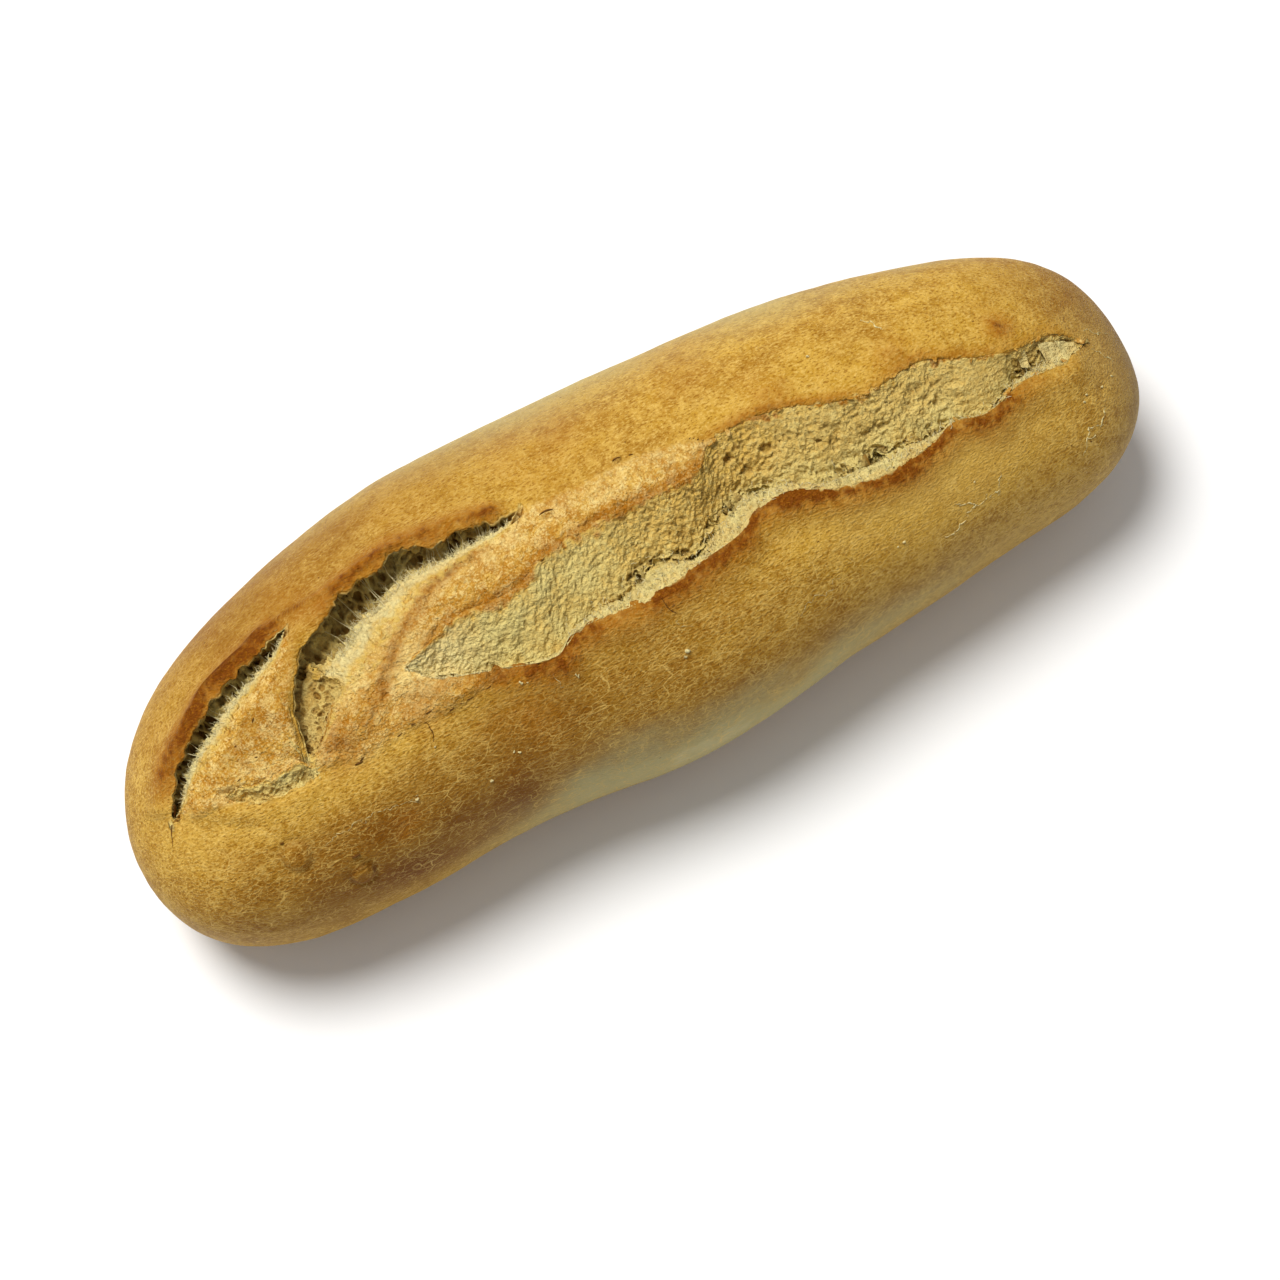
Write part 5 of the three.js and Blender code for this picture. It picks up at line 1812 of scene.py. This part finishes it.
# The sheets are dimmed a little with painted shade.
dress(dough_sheets, torn=1.0, baked=0.05, pit=0.16, pale=0.2, gold=0.2)
print("the sheets have", len(dough_sheets.data.polygons), "faces")

# %% [markdown]
# ## Cracks, tears and specks
#
# A cooling crust crackles. The finest cracks are in the finish, but a few are wide enough to lift
# pale, flaky edges, and beside the scores the skin tore into short slits, drawn dark partly in their
# own brown and partly as painted shade inside them. Here and there a speck of flour baked on. All of
# them are thin threads laid on the crust, some pale and some dark, each through a few points given
# by their place along X and their angle.

# %% Lines laid on the crust
PALE_CRACKS = [
    [(55, 134.5), (57.6, 138), (59.6, 140.5), (62.1, 140)],
    [(51.5, 145.5), (53.6, 146.5), (55.3, 144.5), (56.9, 143)], [(56.9, 143), (59.6, 140.5)],
    [(64.3, 142), (64.9, 139.5), (65.6, 136), (66.2, 132.5)], [(64.9, 139.5), (62.1, 140)],
    [(56.4, 65.5), (57.1, 67.5), (59.2, 73)],
    [(84.1, 143), (85.1, 138.5), (86.3, 134.5), (88.2, 136), (89.5, 138.5)],
    [(88.8, 137.5), (90.1, 132.5), (91, 128)], [(85.1, 138.5), (86.8, 139.5)], [(82.6, 146), (84.1, 143)],
    [(93.5, 100), (96, 104), (97.4, 110)], [(95, 92), (97.5, 95), (99.6, 94)],
    [(-75.4, 132.5), (-72.4, 130.5), (-68.6, 129.5), (-63.6, 130), (-59.4, 131.5), (-55.3, 133.5)],
    [(-24.7, 118), (-24.4, 121), (-23.3, 123.5)], [(-1, 118), (0.2, 121), (1.6, 122.5)],
    [(20, 139), (24, 137.5), (27, 138.5), (30, 136)], [(-57.2, 133.5), (-55.3, 134), (-54.2, 135.4)],
    [(-55.8, 132.6), (-54.9, 135)],
]
DARK_TEARS = [[(-1.6, 110.5), (-1.0, 114), (-0.4, 117)], [(-48.2, 112.5), (-47.7, 116), (-48.1, 120)]]
# Each short slit: its place along X, its angle in degrees, its half length and its radius in mm.
SLITS = [
    (-61.4, 112, 0.9, 0.3), (-60.6, 111.4, 0.5, 0.22), (-52.9, 112, 0.6, 0.18), (-50, 111.5, 0.5, 0.2),
    (-46.6, 111, 0.8, 0.18), (-42.9, 114, 0.6, 0.2), (-41, 113.8, 0.3, 0.14), (-39.1, 114, 0.8, 0.16),
    (-35.5, 114, 0.6, 0.16), (-33.2, 113.6, 0.3, 0.12), (3.7, 76, 0.8, 0.3), (6.5, 76.2, 0.5, 0.2),
    (-11.9, 81, 1.5, 0.28), (17.1, 80.5, 0.25, 0.16), (17.7, 81, 0.2, 0.14), (18.3, 81.6, 0.25, 0.18),
    (19.0, 82.2, 0.2, 0.14), (-69.2, 141, 0.9, 0.45), (-79.6, 121, 0.4, 0.3), (-78.9, 88, 0.3, 0.2),
    (-74, 86, 0.4, 0.2), (-81, 95, 0.5, 0.16), (-76.5, 93, 0.3, 0.2), (28.6, 121, 0.3, 0.14),
    (85.6, 141.5, 0.25, 0.2),
]
# How much of their listed length and width the slits are drawn with.
SLIT_LENGTH, SLIT_WIDTH = 0.85, 0.62
# The tear that runs on from the left tip of the first lip: x, y and its radius in mm.
TIP_TEAR = [
    (-93.4, -5.0, 0.34), (-94.4, -6.6, 0.26), (-95.3, -7.8, 0.19), (-96.1, -9.0, 0.14), (-96.6, -10.4, 0.1),
    (-97.5, -11.6, 0.06),
]
# Each speck: its place along X, its angle in degrees and its radius in mm.
SPECKS = [
    (-30, 116.5, 0.32), (-20.6, 122, 0.3), (-1.2, 129, 0.55), (-1.9, 130.5, 0.3), (-35.5, 138.5, 0.3),
    (-36.4, 137.4, 0.22), (-42.1, 144, 0.32), (43.6, 138, 0.35), (42.2, 138.4, 0.2), (43.9, 72.5, 0.34),
    (-55.3, 134, 0.4), (-48.4, 121.5, 0.25), (88.2, 119.2, 0.3), (87.2, 121.8, 0.3), (92.3, 119, 0.3),
    (-29, 117.6, 0.18), (60.4, 131, 0.22), (95.5, 117, 0.25),
]


print(len(PALE_CRACKS), "pale cracks,", len(SLITS), "slits and", len(SPECKS), "specks")

# %% Lay the lines
def laid_line(marks, crook, above, seed):
    """Points of the crust along a crooked line through marks of place along X and angle."""
    marks = np.array(marks, float)
    steps = np.linalg.norm(np.diff(skin(marks[:, 0], np.radians(marks[:, 1])), axis=0), axis=1)
    walk = np.concatenate([[0], np.cumsum(steps)])
    at = np.linspace(0, walk[-1], max(4, round(walk[-1] / 0.3)))
    x, angle = (through(list(zip(walk, marks[:, k])))(at) for k in (0, 1))
    line = on_plan(at)
    x = x + crook * (ripple(line, 1.7, seed) + 0.6 * ripple(line, 0.7, seed + 1))
    angle = angle + 1.6 * crook * (ripple(line, 1.7, seed + 2) + 0.6 * ripple(line, 0.7, seed + 3))
    return [on_crust(a, b, above) for a, b in zip(x.tolist(), angle.tolist())]


def uneven(points, low, high):
    """Radii that change along a line and taper at its ends."""
    last = len(points) - 1
    radii = []
    for k in range(len(points)):
        taper = min(1, 0.3 + 2.8 * min(k, last - k) / last)
        radii.append(lerp(low, high, rng.random() ** 1.5) * taper)
    return radii


def slit_path(x, angle, half_length, radius, seed):
    """A short slit along X, thickest at its middle, sunk into the crust."""
    ends = [(x + side * half_length, angle + rng.gauss(0, 0.2)) for side in (-1, 1)]
    points = laid_line(ends, 0.08, 0.05 - radius, seed)
    return points, list(radius * np.sin(math.pi * np.linspace(0.15, 0.85, len(points))))


pale_paths = []
for seed, marks in enumerate(PALE_CRACKS):
    points = laid_line(marks, 1.2, -0.04, 300 + 7 * seed)
    pale_paths.append((points, uneven(points, 0.0, 0.2 if marks[0][0] > 40 else 0.07)))
for x, angle, radius in SPECKS:
    stations = (x - 0.8 * radius, x, x + 0.8 * radius)
    points = [on_crust(station, angle + rng.gauss(0, 0.3), -0.35 * radius) for station in stations]
    pale_paths.append((points, [share * radius for share in (0.5, 0.8, 0.4)]))
pale_marks = thread_mesh("pale_marks", pale_paths)
dress(pale_marks, torn=1.0, pale=0.4)

dark_paths = []
for k, (x, angle, half_length, radius) in enumerate(SLITS):
    dark_paths.append(slit_path(x, angle, SLIT_LENGTH * half_length, SLIT_WIDTH * radius, 500 + 5 * k))
for seed, marks in enumerate(DARK_TEARS):
    points = laid_line(marks, 0.35, -0.06, 700 + 7 * seed)
    dark_paths.append((points, uneven(points, 0.05, 0.12)))
tip_x, tip_y, tip_radii = np.array(TIP_TEAR).T
tip_points = np.stack([tip_x, tip_y, felt_level(tip_x, tip_y) - 0.05], axis=-1)
dark_paths.append((list(tip_points), list(tip_radii)))
dark_marks = thread_mesh("dark_marks", dark_paths)
# The slits and tears are dark partly in their own brown and partly with painted shade inside them.
dress(dark_marks, pit=0.85)
print(len(pale_paths), "pale marks and", len(dark_paths), "dark ones")

# %% [markdown]
# ## The light
#
# The roll lies under one large soft light that stands beyond it and a little to the left, so that
# the far flank is bright, the lips throw short shadows into the gaps, and the near flank falls off.
# A pale surrounding light keeps the shadows open.

# %% Floor and lights
def soft_light(name, azimuth, elevation, distance, size, power, tint):
    """A round soft light on the side of this bearing and height. Sizes are in metres here."""
    data = bpy.data.lights.new(name, "AREA")
    data.shape = "DISK"
    data.size = size
    data.energy = power
    data.color = tint
    light = bpy.data.objects.new(name, data)
    towards = direction_from(azimuth, elevation)
    light.location = towards * distance
    light.rotation_euler = towards.to_track_quat("Z", "Y").to_euler()
    bpy.context.scene.collection.objects.link(light)


FLOOR_SIZE, FLOOR_DROP = 6.0, 0.0002
FLOOR_GREY, FLOOR_DULLNESS = 0.9, 0.9
SURROUNDING_LIGHT = 0.33


def make_floor():
    bpy.ops.mesh.primitive_plane_add(size=FLOOR_SIZE, location=(0, 0, -FLOOR_DROP))
    floor = bpy.context.object
    floor.name = floor.data.name = "floor"
    finish = bpy.data.materials.new("pale_floor")
    finish.use_nodes = True
    shader = finish.node_tree.nodes["Principled BSDF"]
    shader.inputs["Base Color"].default_value = (FLOOR_GREY, FLOOR_GREY, FLOOR_GREY, 1)
    shader.inputs["Roughness"].default_value = FLOOR_DULLNESS
    floor.data.materials.append(finish)


make_floor()
soft_light("key", azimuth=-155, elevation=66, distance=1.3, size=0.6, power=19.0, tint=(1.0, 0.99, 0.97))
world = bpy.data.worlds.new("studio")
world.use_nodes = True
background = world.node_tree.nodes["Background"]
background.inputs["Color"].default_value = (1, 1, 1, 1)
background.inputs["Strength"].default_value = SURROUNDING_LIGHT
bpy.context.scene.world = world
bpy.context.scene.view_settings.view_transform = "Standard"
print("lit")

# %% Ride on the frame
for pattern in (flake, sheet_pattern):
    bpy.data.objects.remove(pattern)
large_pieces = [crust, crumb_trench, crumb_second, crumb_first, crumb_heel]
small_pieces = [threads, crust_flakes, dough_sheets, pale_marks, dark_marks]
for piece in large_pieces:
    piece.data.materials.append(baked_dough)
for piece in large_pieces + small_pieces:
    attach(piece, "root")
    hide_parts("bread_roll")
